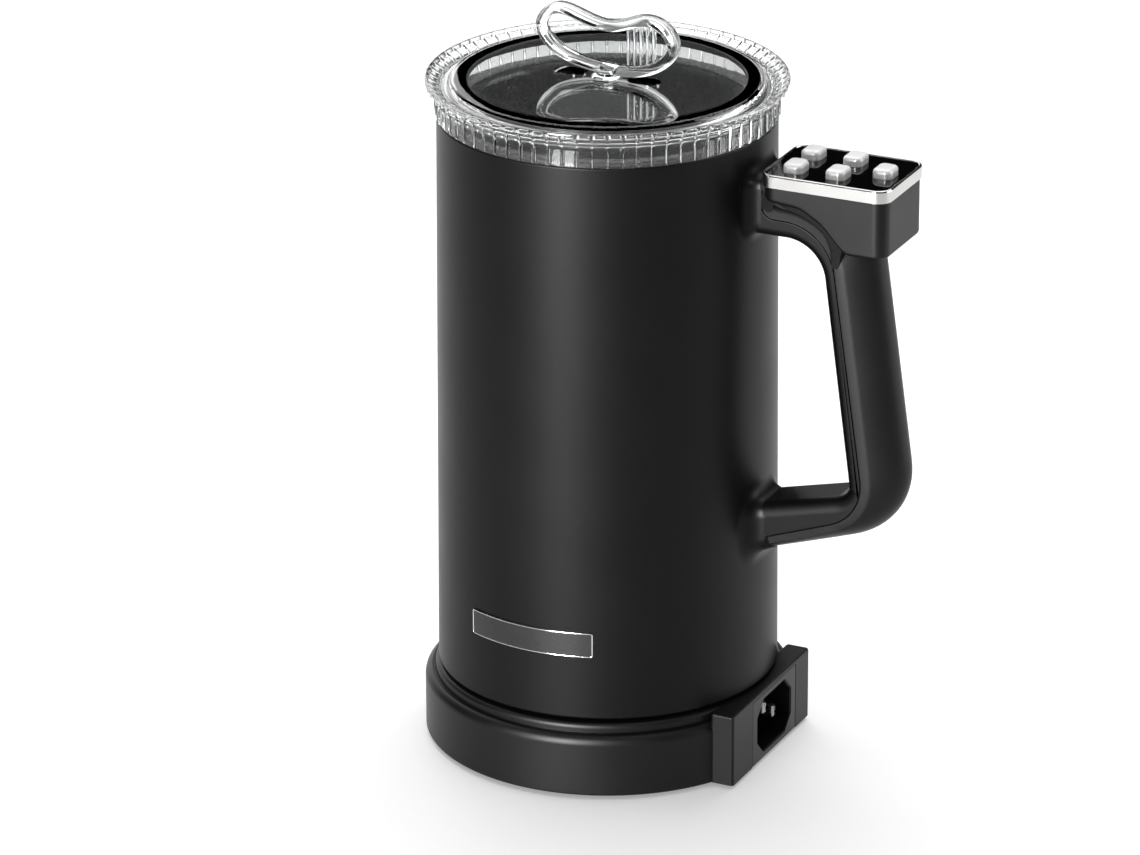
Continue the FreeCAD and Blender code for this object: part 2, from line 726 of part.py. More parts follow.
def make_magnet_hub():
    body = new_body("magnet_hub")
    low = size("hub_bottom")
    high = size("hub_top")
    turn(body, [(0, low), (size("hub_radius"), low, 1.0), (size("hub_radius"), high, 1.0),
                (0, high)])
    cut_between(body, low, high - 1, circles=[(0, 0, size("shaft_radius"))])
    spots = [on_circle(size("magnet_circle"), angle) for angle in MAGNET_ANGLES]
    cut_between(body, high - size("magnet_height"), high,
                circles=[(x, y, size("magnet_radius")) for x, y in spots])
    return body


def make_drive_magnets():
    magnets = []
    high = size("hub_top")
    for index, angle in enumerate(MAGNET_ANGLES):
        x, y = on_circle(size("magnet_circle"), angle)
        magnets.append(cylinder(f"drive_magnet_{index}", size("magnet_radius"),
                                high - size("magnet_height"), high, x, y))
    return group("drive_magnets", magnets)


def make_heater_ring():
    body = new_body("heater_ring")
    high = size("liner_floor")
    low = high - size("heater_height")
    turn(body, [(size("heater_inner"), low, 1.2), (size("heater_outer"), low, 1.2),
                (size("heater_outer"), high), (size("heater_inner"), high)])
    return body


def make_temperature_sensor():
    item = cylinder("temperature_sensor", as_size(2.5), size("liner_floor") - 7,
                    size("liner_floor"), as_size(0), as_size(-18))
    item.Label = "temperature_sensor"
    return item


def make_thermal_cutout():
    high = size("liner_floor") - size("heater_height")
    item = block("thermal_cutout", as_size(22), as_size(31), as_size(-4), as_size(4),
                 high - 6, high)
    item.Label = "thermal_cutout"
    return item


def make_whisk_spindle():
    """Fixed pin on the vessel's floor that the whisk turns on."""
    body = new_body("whisk_spindle")
    floor = size("liner_floor")
    top = floor + size("liner_wall")
    pin = size("shaft_radius")
    turn(body, [
        (0, floor - 1.5), (2.0, floor - 1.5), (2.0, top), (5.0, top), (5.0, top + 0.9, 0.4),
        (pin, top + 0.9), (pin, size("spindle_top"), 0.6), (0, size("spindle_top"))])
    return body


# ---------------------------------------------------------------- whisk

def make_whisk_body():
    """Lobed foot, hub of two offset square blocks, stalk and ball knob."""
    body = new_body("whisk_body")
    low = size("whisk_bottom")
    foot_top = low + size("whisk_foot")
    long = size("whisk_long")
    lobe = size("whisk_lobe")
    short = size("whisk_short")
    waist = size("whisk_waist")
    tip = lobe - 0.2
    cross = [(long, -lobe, tip), (long, lobe, tip), (waist, lobe, 2.5), (waist, short, 5.0),
             (-waist, short, 5.0), (-waist, lobe, 2.5), (-long, lobe, tip), (-long, -lobe, tip),
             (-waist, -lobe, 2.5), (-waist, -short, 5.0), (waist, -short, 5.0),
             (waist, -lobe, 2.5)]
    pad_up(body, low, foot_top, [cross])
    hub_top = size("whisk_hub_top")
    hub_middle = (foot_top + hub_top) / 2 + 1.5
    pad_up(body, foot_top - 1, hub_middle, [rectangle(-8.0, 4.5, -6.5, 4.5, 0.8)])
    pad_up(body, hub_middle - 1, hub_top, [rectangle(-5.0, 5.0, -5.0, 5.0, 0.8)])
    stalk_top = size("stalk_top")
    knob = size("knob_radius")
    knob_high = stalk_top + knob * 1.62
    turn(body, [
        (0, hub_top - 1), (size("stalk_radius"), hub_top - 1), (size("stalk_radius"), stalk_top),
        (knob, stalk_top, knob * 0.55), (knob, knob_high, knob * 0.8), (0, knob_high)])
    bore_top = size("spindle_top") + 0.6
    bore = size("shaft_radius") + size("shaft_clearance")
    cut_between(body, low, bore_top, circles=[(0, 0, bore)])
    cut_between(body, low, low + size("magnet_height"),
                circles=[(side * 12.5, 0, size("magnet_radius")) for side in (-1, 1)])
    return body


def make_whisk_magnets():
    low = size("whisk_bottom")
    magnets = []
    for index, side in enumerate((-1, 1)):
        magnets.append(cylinder(f"whisk_magnet_{index}", size("magnet_radius"), low + 0.2,
                                low + size("magnet_height"), as_size(side * 12.5)))
    return group("whisk_magnets", magnets)


def coil_height():
    return size("whisk_bottom") + size("whisk_foot") / 2


def make_whisk_hoop():
    """Plain wire hoop that runs inside the coil."""
    item = doc.addObject("Part::Torus", "whisk_hoop")
    item.Label = "whisk_hoop"
    bind(item, "Radius1", size("coil_ring_radius"))
    bind(item, "Radius2", size("hoop_radius"))
    place(item, z=coil_height())
    return item


def make_whisk_coil():
    """Wire wound round a ring until it closes on itself, as one many-sided solid."""
    turns = SIZES["coil_turns"]
    ring = SIZES["coil_ring_radius"]
    tube_radius = SIZES["coil_tube_radius"]
    wire = SIZES["wire_radius"]
    stations = 12 * turns
    sides = 6
    rings = []
    for station in range(stations):
        around = 2 * math.pi * station / stations
        swing = turns * around
        outwards = FreeCAD.Vector(math.cos(around), math.sin(around), 0)
        forwards = FreeCAD.Vector(-math.sin(around), math.cos(around), 0)
        upwards = FreeCAD.Vector(0, 0, 1)
        spoke = upwards * math.sin(swing) - outwards * math.cos(swing)
        swinging = upwards * math.cos(swing) + outwards * math.sin(swing)
        centre = outwards * ring + spoke * tube_radius
        reach = ring - tube_radius * math.cos(swing)
        tangent = swinging * (tube_radius * turns) + forwards * reach
        tangent.normalize()
        across = tangent.cross(spoke)
        rings.append([centre + spoke * (wire * math.cos(2 * math.pi * corner / sides))
                      + across * (wire * math.sin(2 * math.pi * corner / sides))
                      for corner in range(sides)])
    facets = []
    for station in range(stations):
        here = rings[station]
        ahead = rings[(station + 1) % stations]
        for corner in range(sides):
            beside = (corner + 1) % sides
            facets.append((here[corner], here[beside], ahead[beside]))
            facets.append((here[corner], ahead[beside], ahead[corner]))
    shell = Part.Shell([Part.Face(Part.makePolygon([*facet, facet[0]])) for facet in facets])
    shell.sewShape()
    item = doc.addObject("Part::Feature", "whisk_coil")
    item.Label = "whisk_coil"
    item.Shape = Part.Solid(shell)
    item.Placement = FreeCAD.Placement(FreeCAD.Vector(0, 0, coil_height().value),
                                       FreeCAD.Rotation())
    return item


# ---------------------------------------------------------------- control panel

def panel_rectangle(inset):
    """Rounded rectangle of the panel, inset all round."""
    half_length = size("trim_length") / 2 - inset
    half_width = size("trim_width") / 2 - inset
    middle = size("panel_centre")
    return rectangle(middle - half_length, middle + half_length, -half_width, half_width,
                     size("trim_round") - inset)


def button_spots():
    spread = size("row_spread")
    return {
        "button_thick": (size("inner_row"), -spread),
        "button_thin": (size("inner_row"), spread),
        "button_cold": (size("middle_row"), -spread),
        "button_hot": (size("middle_row"), spread),
        "button_power": (size("end_row"), as_size(0)),
    }


def button_rectangle(x, y, grow):
    half_length = size("button_length") / 2 + grow
    half_width = size("button_width") / 2 + grow
    return rectangle(x - half_length, x + half_length, y - half_width, y + half_width,
                     size("button_round") + grow)


def make_panel_trim():
    """Bright band round the panel, with a ledge inside that carries the plate."""
    body = new_body("panel_trim")
    low = size("housing_top")
    high = size("trim_top")
    pad_up(body, low, high, [panel_rectangle(0)])
    cut_between(body, low, high,
                [panel_rectangle(size("trim_wall") + size("trim_ledge"))])
    cut_between(body, size("plate_low"), high, [panel_rectangle(size("trim_wall"))])
    return body


def make_panel_plate():
    body = new_body("panel_plate")
    low = size("plate_low")
    high = size("plate_top")
    pad_up(body, low, high, [panel_rectangle(size("trim_wall"))])
    holes = [button_rectangle(x, y, size("button_gap")) for x, y in button_spots().values()]
    cut_between(body, low, high, holes)
    return body


def make_button(label):
    """White cap through the plate, with a wider lip below that keeps it in."""
    x, y = button_spots()[label]
    body = new_body(label)
    bottom = size("button_bottom")
    top = size("button_top")
    pad_up(body, bottom, bottom + size("lip_height"),
           [button_rectangle(x, y, size("button_lip"))])
    pad_up(body, bottom + size("lip_height") - 0.4, top, [button_rectangle(x, y, as_size(0))])
    return body


def make_button_board():
    body = new_body("button_board")
    low = size("button_board_low")
    start = size("housing_start") + 2.6
    end = size("housing_end") - 2.6
    side = size("housing_width") / 2 - 2.5
    pad_up(body, low, low + size("board_thickness"), [rectangle(start, end, -side, side, 1.8)])
    return body


def make_button_switches():
    low = size("button_board_low") + size("board_thickness")
    half = size("switch_size") / 2
    high = low + size("switch_height")
    switches = []
    for label, (x, y) in button_spots().items():
        case = block(label + "_switch_case", x - half, x + half, y - half, y + half, low, high)
        plunger = cylinder(label + "_plunger", as_size(1.6), high - 0.5,
                           high + size("plunger_height"), x, y)
        switches.append(fused(label + "_switch", [case, plunger]))
    return group("button_switches", switches)


def make_badge_plate():
    """Thin curved plate on the jug's front, part of a turned ring."""
    body = new_body("badge_plate")
    inner = size("badge_inner")
    sketch = add_sketch(body, "XZ_Plane")
    add_outline(sketch, rectangle(inner, inner + size("badge_thickness"),
                                  size("badge_low"), size("badge_high")))
    feature = body.newObject("PartDesign::Revolution", "badge_turn")
    feature.Profile = sketch
    feature.ReferenceAxis = (sketch, ["V_Axis"])
    feature.Midplane = True
    bind(feature, "Angle", size("badge_angle"))
    finish_feature(body, feature, sketch)
    body.Placement = FreeCAD.Placement(
        FreeCAD.Vector(0, 0, 0), FreeCAD.Rotation(FreeCAD.Vector(0, 0, 1), 1))
    bind(body, "Placement.Rotation.Angle", size("badge_middle"))
    return body


# ---------------------------------------------------------------- lid

def make_lid_cover():
    """Clear lid: skirt, flared flange, shallow valley and flat middle with two vents."""
    body = new_body("lid_cover")
    skirt_in = size("skirt_inner")
    skirt_out = size("skirt_outer")
    bottom = size("skirt_bottom")
    valley = size("valley_top")
    lip = size("gasket_outer") + 0.1
    turn(body, [
        (skirt_in, bottom), (skirt_out, bottom), (skirt_out, valley - 1.2),
        (size("flange_radius") - 0.2, size("flange_top") - 1.8),
        (size("flange_radius"), size("flange_top"), 0.5), (size("valley_outer"), valley),
        (size("valley_inner"), valley), (size("disc_radius"), size("disc_top"), 0.6),
        (size("peg_radius"), size("disc_top")), (size("peg_radius"), size("disc_bottom")),
        (lip, size("disc_bottom")), (lip, size("lip_bottom")),
        (lip + 1.2, size("lip_bottom")), (lip + 1.2, valley - 1.8), (skirt_in, valley - 1.8)])
    half = size("vent_width") / 2
    reach = size("vent_length") / 2
    for side in (-1, 1):
        middle = size("vent_offset") * side
        cut_between(body, size("disc_bottom"), size("disc_top"),
                    [rectangle(middle - reach, middle + reach, -half, half, half - 0.1)])
    return body


def make_lid_gasket():
    body = new_body("lid_gasket")
    inner = size("gasket_inner")
    outer = size("gasket_outer")
    high = size("disc_bottom")
    low = size("gasket_bottom")
    turn(body, [
        (inner, high - 1.4), (outer - 1.6, high - 1.4), (outer - 1.6, low, 0.5),
        (outer, low, 0.5), (outer, high), (inner, high, 0.6)])
    return body


def loop_outline(inset):
    """Bean-shaped closed curve of the grip in the XZ plane, inset from its outside."""
    base = SIZES["loop_bottom"]
    knots = [(7.0, 0.0), (16.5, 2.6), (22.7, 10.5), (19.0, 17.5), (12.0, 19.3), (2.0, 16.4),
             (-8.0, 18.2), (-16.5, 19.4), (-22.2, 13.5), (-18.8, 6.0), (-8.5, 1.2)]
    curve = Part.BSplineCurve()
    points = [FreeCAD.Vector(x, 0, base + z) for x, z in knots]
    curve.interpolate(Points=points, PeriodicFlag=True)
    if inset:
        samples = 28
        span = (curve.LastParameter - curve.FirstParameter) / samples
        points = []
        for index in range(samples):
            along = curve.FirstParameter + index * span
            direction = curve.tangent(along)[0]
            inward = FreeCAD.Vector(-direction.z, 0, direction.x)
            points.append(curve.value(along) + inward * inset)
        curve = Part.BSplineCurve()
        curve.interpolate(Points=points, PeriodicFlag=True)
    pieces = 4
    span = (curve.LastParameter - curve.FirstParameter) / pieces
    edges = []
    for index in range(pieces):
        start = curve.FirstParameter + index * span
        edges.append(curve.toShape(start, start + span))
    return Part.Wire(edges)


def loop_slab(wire, thickness):
    """The area inside the wire as a slab, half on each side of y = 0."""
    face = Part.Face(wire)
    slab = face.extrude(FreeCAD.Vector(0, thickness, 0))
    slab.translate(FreeCAD.Vector(0, -thickness / 2, 0))
    return slab


def make_lid_handle():
    """Clear bean-shaped grip: thick rim, thin web with grip ridges, stub and peg."""
    depth = SIZES["loop_depth"]
    web = SIZES["loop_web"]
    rim = SIZES["loop_rim"]
    bottom = SIZES["loop_bottom"]
    inside = loop_outline(rim)
    solid = loop_slab(loop_outline(0), depth)
    hollow = loop_slab(inside, depth).cut(loop_slab(inside, web))
    solid = solid.cut(hollow)
    ridge_area = loop_slab(inside, depth)
    for index in range(5):
        x = 7.0 + 2.0 * index
        ridge = Part.makeCylinder(0.55, 24, FreeCAD.Vector(x, 0, bottom))
        for side in (-1, 1):
            moved = ridge.copy()
            moved.translate(FreeCAD.Vector(0, side * web / 2, 0))
            solid = solid.fuse(moved.common(ridge_area))
    disc_top = SIZES["disc_top"]
    stub = Part.makeCylinder(SIZES["loop_stub"], bottom + 1.6 - disc_top,
                             FreeCAD.Vector(0, 0, disc_top))
    peg = Part.makeCylinder(SIZES["peg_radius"], disc_top + 1 - SIZES["gasket_bottom"],
                            FreeCAD.Vector(0, 0, SIZES["gasket_bottom"]))
    item = doc.addObject("Part::Feature", "lid_handle")
    item.Label = "lid_handle"
    item.Shape = solid.fuse(stub).fuse(peg).removeSplitter()
    item.Placement = FreeCAD.Placement()
    return item


# ---------------------------------------------------------------- assembly

def make_all():
    """Every sub-part, in the order of the assembly from the table up."""
    parts = [
        make_base_housing(), make_base_bottom_cover(), make_base_screws(), make_base_feet(),
        make_inlet_socket(), make_inlet_pins(), make_base_connector(), make_base_contacts(),
        make_jug_shell(), make_jug_liner(), make_jug_bottom_cover(), make_jug_screws(),
        make_jug_connector(), make_jug_contacts(), make_control_board(), make_board_parts(),
        make_motor(), make_motor_bracket(), make_drive_shaft(), make_magnet_hub(),
        make_drive_magnets(), make_heater_ring(), make_temperature_sensor(),
        make_thermal_cutout(), make_whisk_spindle(),
        make_whisk_body(), make_whisk_magnets(), make_whisk_hoop(), make_whisk_coil(),
        make_handle_cover(), make_handle_screws(), make_panel_trim(), make_panel_plate(),
        make_button_board(), make_button_switches(), make_badge_plate(),
        make_lid_cover(), make_lid_gasket(), make_lid_handle(),
    ]
    parts += [make_button(label) for label in button_spots()]
    return parts


def check_document():
    for item in doc.Objects:
        if "Invalid" in item.State or "Error" in item.State:
            raise RuntimeError(f"{item.Name} failed: {item.State}")


def export(parts):
    os.makedirs("parts", exist_ok=True)
    for part in parts:
        shape = part.Shape
        if shape.isNull() or not shape.isValid() or not shape.Solids:
            raise RuntimeError(f"{part.Label} has no valid solid")
        print(f"{part.Label:20s} solids {len(shape.Solids):3d} volume {shape.Volume:10.1f}")
    for part in parts:
        part.Shape.exportStep(f"parts/{part.Label}.step")


make_sheet()
all_parts = make_all()
doc.recompute()
check_document()
export(all_parts)
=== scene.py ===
"""Looks of a milk frother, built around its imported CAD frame.

Shapes are worked out in millimetres from the boxes of the CAD nodes and become metres when a
piece is made. +Z is up, the handle points along +X and the badge faces -Y.
"""

import json
import math

import bmesh
import bpy
import numpy as np
from mathutils import Matrix, Vector


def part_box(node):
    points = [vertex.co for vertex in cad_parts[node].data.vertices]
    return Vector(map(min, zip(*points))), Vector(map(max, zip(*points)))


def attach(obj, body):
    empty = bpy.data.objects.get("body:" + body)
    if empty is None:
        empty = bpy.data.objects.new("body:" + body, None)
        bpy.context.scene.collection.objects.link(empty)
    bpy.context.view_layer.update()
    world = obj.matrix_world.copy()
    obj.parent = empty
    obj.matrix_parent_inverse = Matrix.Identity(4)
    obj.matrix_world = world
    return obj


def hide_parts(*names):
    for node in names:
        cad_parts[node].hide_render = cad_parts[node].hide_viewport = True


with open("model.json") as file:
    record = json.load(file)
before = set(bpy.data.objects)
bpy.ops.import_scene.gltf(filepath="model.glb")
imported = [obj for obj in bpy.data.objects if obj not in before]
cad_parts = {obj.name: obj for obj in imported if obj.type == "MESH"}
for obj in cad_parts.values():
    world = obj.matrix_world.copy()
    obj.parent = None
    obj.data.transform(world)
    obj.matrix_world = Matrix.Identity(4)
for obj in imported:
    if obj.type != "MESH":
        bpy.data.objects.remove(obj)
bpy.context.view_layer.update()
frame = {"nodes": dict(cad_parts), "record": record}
slot_of = {row["node"]: row["material_slot"] for row in frame["record"]["subparts"]}


def span(node):
    """Lowest and highest corner of a CAD node, in millimetres."""
    low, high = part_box(node)
    return np.array(low) * 1000, np.array(high) * 1000


# ---------------------------------------------------------------- camera and studio

MIDDLE = Vector((0, 0, 0.110))


def towards(azimuth, elevation):
    """Unit vector from the object towards a direction; azimuth 0 is -Y and 90 is +X, in degrees."""
    a, e = math.radians(azimuth), math.radians(elevation)
    return Vector((math.sin(a) * math.cos(e), -math.cos(a) * math.cos(e), math.sin(e)))


def make_camera():
    """Camera at the place, turned by the small angles, that the object was seen from."""
    azimuth, elevation, distance = 25.11, 21.51, 1.8131
    camera = bpy.data.objects.new("camera", bpy.data.cameras.new("camera"))
    bpy.context.scene.collection.objects.link(camera)
    camera.data.sensor_width = 36.0
    camera.data.lens = 195.0
    camera.data.clip_start = 0.05
    camera.data.clip_end = 50.0
    back = towards(azimuth, elevation)
    yaw, pitch, roll = (math.radians(angle) for angle in (-0.3512, -0.4295, -0.2278))
    right = (-back).cross(Vector((0, 0, 1))).normalized()
    forward = (-back + math.tan(yaw) * right + math.tan(pitch) * right.cross(-back)).normalized()
    right = forward.cross(Vector((0, 0, 1))).normalized()
    up = right.cross(forward)
    across = math.cos(roll) * right + math.sin(roll) * up
    over = math.cos(roll) * up - math.sin(roll) * right
    turn = Matrix((across, over, -forward)).transposed().to_4x4()
    camera.matrix_world = Matrix.Translation(MIDDLE + back * distance) @ turn
    bpy.context.scene.camera = camera


def make_softbox(name, azimuth, elevation, distance, width, height, power, down=False):
    """Rectangular studio light that faces the object and shows only in glossy surfaces, or
    one that faces straight down and lights everything. Watts, metres and degrees."""
    light = bpy.data.lights.new(name, "AREA")
    light.shape = "RECTANGLE"
    light.size, light.size_y = width, height
    light.energy = power
    item = bpy.data.objects.new(name, light)
    bpy.context.scene.collection.objects.link(item)
    back = towards(azimuth, elevation)
    item.location = MIDDLE + back * distance
    item.rotation_mode = "QUATERNION"
    item.visible_diffuse = down
    facing = Vector((0, 0, -1)) if down else -back
    item.rotation_quaternion = facing.to_track_quat("-Z", "Y")


def make_studio():
    """Narrow key light for the band on the jug, two rims, a soft sky and a pale floor."""
    bpy.context.scene.view_settings.view_transform = "Standard"
    make_softbox("key_strip", -4, 3, 1.5, 0.36, 1.9, 190.0)
    make_softbox("left_rim", -130, 8, 1.5, 1.0, 1.6, 9.0)
    make_softbox("right_rim", 116, 6, 1.5, 1.2, 1.6, 28.0)
    make_softbox("floor_sheet_light", 205, 56, 1.2, 1.7, 1.7, 21.0, down=True)
    world = bpy.data.worlds.new("studio")
    world.use_nodes = True
    world.node_tree.nodes["Background"].inputs["Color"].default_value = (1.0, 1.0, 1.0, 1.0)
    world.node_tree.nodes["Background"].inputs["Strength"].default_value = 0.26
    bpy.context.scene.world = world
    world.cycles_visibility.glossy = False
    bpy.ops.mesh.primitive_plane_add(size=12)
    floor = bpy.context.object
    floor.name = "floor"
    floor.data.materials.append(material("floor_sheet", (0.86, 0.86, 0.86), 0.6, mottle=0.01,
                                         patch=2.0, smudge=0.05, Emission_Color=(1, 1, 1, 1),
                                         Emission_Strength=0.32))


# ---------------------------------------------------------------- materials


def material(name, colour, roughness, metal=0.0, mottle=0.0, patch=60.0, smudge=0.0,
             grain=0.03, grain_size=0.0005, stretch=(1, 1, 1), **sockets):
    """Principled material: mottle varies its colour and smudge its roughness over patches
    (per metre), grain is the bump strength of grains of grain_size metres."""
    made = bpy.data.materials.new(name)
    made.use_nodes = True
    tree = made.node_tree
    new, link = tree.nodes.new, tree.links.new
    shader = tree.nodes["Principled BSDF"]
    shader.inputs["Base Color"].default_value = (*colour, 1.0)
    shader.inputs["Roughness"].default_value = roughness
    shader.inputs["Metallic"].default_value = metal
    for key, value in sockets.items():
        shader.inputs[key.replace("_", " ")].default_value = value
    place = new("ShaderNodeTexCoord")
    mapping = new("ShaderNodeMapping")
    mapping.inputs["Scale"].default_value = stretch
    link(place.outputs["Object"], mapping.inputs["Vector"])
    patches = new("ShaderNodeTexNoise")
    patches.inputs["Scale"].default_value = patch
    patches.inputs["Detail"].default_value = 4.0
    link(mapping.outputs["Vector"], patches.inputs["Vector"])
    if mottle:
        ramp = new("ShaderNodeValToRGB")
        ramp.color_ramp.elements[0].position = 0.3
        ramp.color_ramp.elements[1].position = 0.7
        ramp.color_ramp.elements[0].color = (*(c * (1 - mottle) for c in colour), 1)
        ramp.color_ramp.elements[1].color = (*(min(1, c * (1 + mottle)) for c in colour), 1)
        link(patches.outputs["Fac"], ramp.inputs["Fac"])
        link(ramp.outputs["Color"], shader.inputs["Base Color"])
    if smudge:
        spread = new("ShaderNodeMapRange")
        spread.inputs["From Min"].default_value = 0.3
        spread.inputs["From Max"].default_value = 0.7
        spread.inputs["To Min"].default_value = max(0.0, roughness - smudge)
        spread.inputs["To Max"].default_value = min(1.0, roughness + smudge)
        link(patches.outputs["Fac"], spread.inputs["Value"])
        link(spread.outputs["Result"], shader.inputs["Roughness"])
    if grain:
        grains = new("ShaderNodeTexNoise")
        grains.inputs["Scale"].default_value = 1 / grain_size
        grains.inputs["Detail"].default_value = 2.0
        link(mapping.outputs["Vector"], grains.inputs["Vector"])
        bump = new("ShaderNodeBump")
        bump.inputs["Strength"].default_value = grain
        bump.inputs["Distance"].default_value = grain_size / 4
        link(grains.outputs["Fac"], bump.inputs["Height"])
        link(bump.outputs["Normal"], shader.inputs["Normal"])
    return made


def make_materials():
    """One material for each slot of the record."""
    return {
        "satin_black_coat": material(
            "satin_black_coat", (0.0024, 0.0024, 0.0025), 0.40, mottle=0.12, patch=45,
            smudge=0.02, grain=0.10, grain_size=0.0005, Specular_IOR_Level=0.13),
        "handle_plastic": material(
            "handle_plastic", (0.0028, 0.0028, 0.0029), 0.40, mottle=0.10, patch=60,
            smudge=0.02, grain=0.14, grain_size=0.0004, Specular_IOR_Level=0.19),
        "black_plastic": material(
            "black_plastic", (0.0028, 0.0028, 0.0029), 0.42, mottle=0.10, patch=60,
            smudge=0.02, grain=0.12, grain_size=0.0004, Specular_IOR_Level=0.19),
        "black_plastic_fine": material(
            "black_plastic_fine", (0.012, 0.012, 0.0125), 0.55, mottle=0.15, patch=90,
            smudge=0.05, grain=0.35, grain_size=0.0006),
        "inlet_plastic": material(
            "inlet_plastic", (0.0045, 0.0045, 0.0047), 0.33, mottle=0.10, patch=90,
            smudge=0.03, grain=0.10, grain_size=0.0004, Specular_IOR_Level=0.2),
        "whisk_plastic": material(
            "whisk_plastic", (0.0085, 0.0085, 0.0090), 0.36, mottle=0.12, patch=110,
            smudge=0.05, grain=0.12, grain_size=0.0004),
        "foot_rubber": material(
            "foot_rubber", (0.016, 0.016, 0.016), 0.8, mottle=0.2, patch=300,
            smudge=0.06, grain=0.5, grain_size=0.0004),
        "gasket_silicone": material(
            "gasket_silicone", (0.010, 0.010, 0.010), 0.5, mottle=0.15, patch=120,
            smudge=0.06, grain=0.15, grain_size=0.0005),
        "liner_coating": material(
            "liner_coating", (0.014, 0.014, 0.0145), 0.24, mottle=0.45, patch=900,
            smudge=0.05, grain=0.22, grain_size=0.0009, Coat_Weight=0.3, Coat_Roughness=0.15),
        "panel_gloss": material(
            "panel_gloss", (0.0025, 0.0025, 0.0027), 0.07, mottle=0.1, patch=60, smudge=0.02,
            Specular_IOR_Level=0.35),
        "badge_face": material(
            "badge_face", (0.0055, 0.0055, 0.0060), 0.28, mottle=0.1, patch=120, smudge=0.03,
            grain=0.06, grain_size=0.0004),
        "chrome": material(
            "chrome", (0.56, 0.555, 0.545), 0.13, metal=1.0, mottle=0.03, patch=80, smudge=0.025),
        "button_white": material(
            "button_white", (0.88, 0.88, 0.875), 0.30, mottle=0.015, patch=200, smudge=0.03,
            grain=0.03, grain_size=0.0006, Coat_Weight=0.4, Coat_Roughness=0.08),
        "clear_plastic": material(
            "clear_plastic", (0.90, 0.912, 0.912), 0.02, mottle=0.01, patch=150, smudge=0.015,
            grain=0.01, grain_size=0.002, Transmission_Weight=1.0, IOR=1.49),
        "wire_steel": material(
            "wire_steel", (0.72, 0.72, 0.73), 0.18, metal=1.0, mottle=0.06, patch=250,
            smudge=0.06),
        "steel": material(
            "steel", (0.56, 0.56, 0.57), 0.32, metal=1.0, mottle=0.1, patch=200, smudge=0.08,
            grain=0.2, grain_size=0.0005, stretch=(1, 1, 0.15)),
        "pin_metal": material(
            "pin_metal", (0.40, 0.39, 0.37), 0.28, metal=1.0, mottle=0.08, patch=400,
            smudge=0.06),
        "contact_brass": material(
            "contact_brass", (0.72, 0.52, 0.24), 0.28, metal=1.0, mottle=0.12, patch=300,
            smudge=0.08),
        "magnet": material(
            "magnet", (0.50, 0.50, 0.51), 0.25, metal=1.0, mottle=0.08, patch=300, smudge=0.06),
        "aluminium": material(
            "aluminium", (0.62, 0.62, 0.63), 0.45, metal=1.0, mottle=0.12, patch=250,
            smudge=0.08, grain=0.3, grain_size=0.0008),
        "ceramic_white": material(
            "ceramic_white", (0.80, 0.78, 0.73), 0.6, mottle=0.05, patch=200, smudge=0.05,
            grain=0.2, grain_size=0.0005),
        "white_plastic": material(
            "white_plastic", (0.76, 0.76, 0.74), 0.42, mottle=0.03, patch=200, smudge=0.05,
            grain=0.1, grain_size=0.0005),
        "board_green": material(
            "board_green", (0.012, 0.11, 0.04), 0.3, mottle=0.35, patch=350, smudge=0.06,
            grain=0.1, grain_size=0.001),
        "board_parts": material(
            "board_parts", (0.03, 0.03, 0.033), 0.45, mottle=0.3, patch=500, smudge=0.06,
            grain=0.2, grain_size=0.0005),
    }


# ---------------------------------------------------------------- outlines and solids


def outline(corners, spacing=3.0, turn=7.5, closed=True):
    """Points along a line through corners (u, v[, round]), counter-clockwise when closed."""
    points = []
    last = len(corners) - 1
    for index, corner in enumerate(corners):
        here = np.array(corner[:2], float)
        radius = corner[2] if len(corner) > 2 else 0
        if not radius or (not closed and index in (0, last)):
            points.append(here)
            continue
        before = np.array(corners[index - 1][:2]) - here
        after = np.array(corners[(index + 1) % len(corners)][:2]) - here
        before, after = before / np.linalg.norm(before), after / np.linalg.norm(after)
        half = math.acos(np.clip(before @ after, -1, 1)) / 2
        middle = here + (before + after) / np.linalg.norm(before + after) * radius / math.sin(half)
        start = here + before * radius / math.tan(half) - middle
        side_of = math.copysign(1, start[0] * (here - middle)[1] - start[1] * (here - middle)[0])
        sweep = math.pi - 2 * half
        steps = max(2, math.ceil(math.degrees(sweep) / turn))
        for step in range(steps + 1):
            angle = side_of * sweep * step / steps
            c, s = math.cos(angle), math.sin(angle)
            points.append(middle + (start[0] * c - start[1] * s, start[0] * s + start[1] * c))
    dense = []
    runs = zip(points, points[1:] + points[:1] if closed else points[1:])
    for first, second in runs:
        count = max(1, math.ceil(np.linalg.norm(second - first) / spacing))
        dense += [first + (second - first) * step / count for step in range(count)]
    if not closed:
        return np.array(dense + [points[-1]])
    dense = np.array(dense)
    ahead = np.roll(dense, -1, 0)
    area = np.sum(dense[:, 0] * ahead[:, 1] - ahead[:, 0] * dense[:, 1])
    return dense if area > 0 else dense[::-1]


def oblong(low, high, radius, spacing=3.0, turn=7.5):
    """Rounded rectangle between two corners."""
    return outline([(high[0], low[1], radius), (high[0], high[1], radius),
                    (low[0], high[1], radius), (low[0], low[1], radius)], spacing, turn)


def inset(points, distance):
    """A closed counter-clockwise outline moved inwards; distance may differ along it."""
    ahead = np.roll(points, -1, 0) - points
    ahead /= np.linalg.norm(ahead, axis=1)[:, None]
    inward = np.stack((-ahead[:, 1], ahead[:, 0]), 1)
    earlier = np.roll(inward, 1, 0)
    mitre = (inward + earlier) / (1 + np.sum(inward * earlier, 1))[:, None]
    return points + mitre * np.broadcast_to(distance, len(points))[:, None]


def plan(u, v, h):
    """Outline in XY, height along Z."""
    return np.stack((u, v, h), -1)


def side(u, v, h):
    """Outline in XZ, height along Y."""
    return np.stack((u, h, v), -1)


def front(u, v, h):
    """Outline in YZ, height along X."""
    return np.stack((h, u, v), -1)


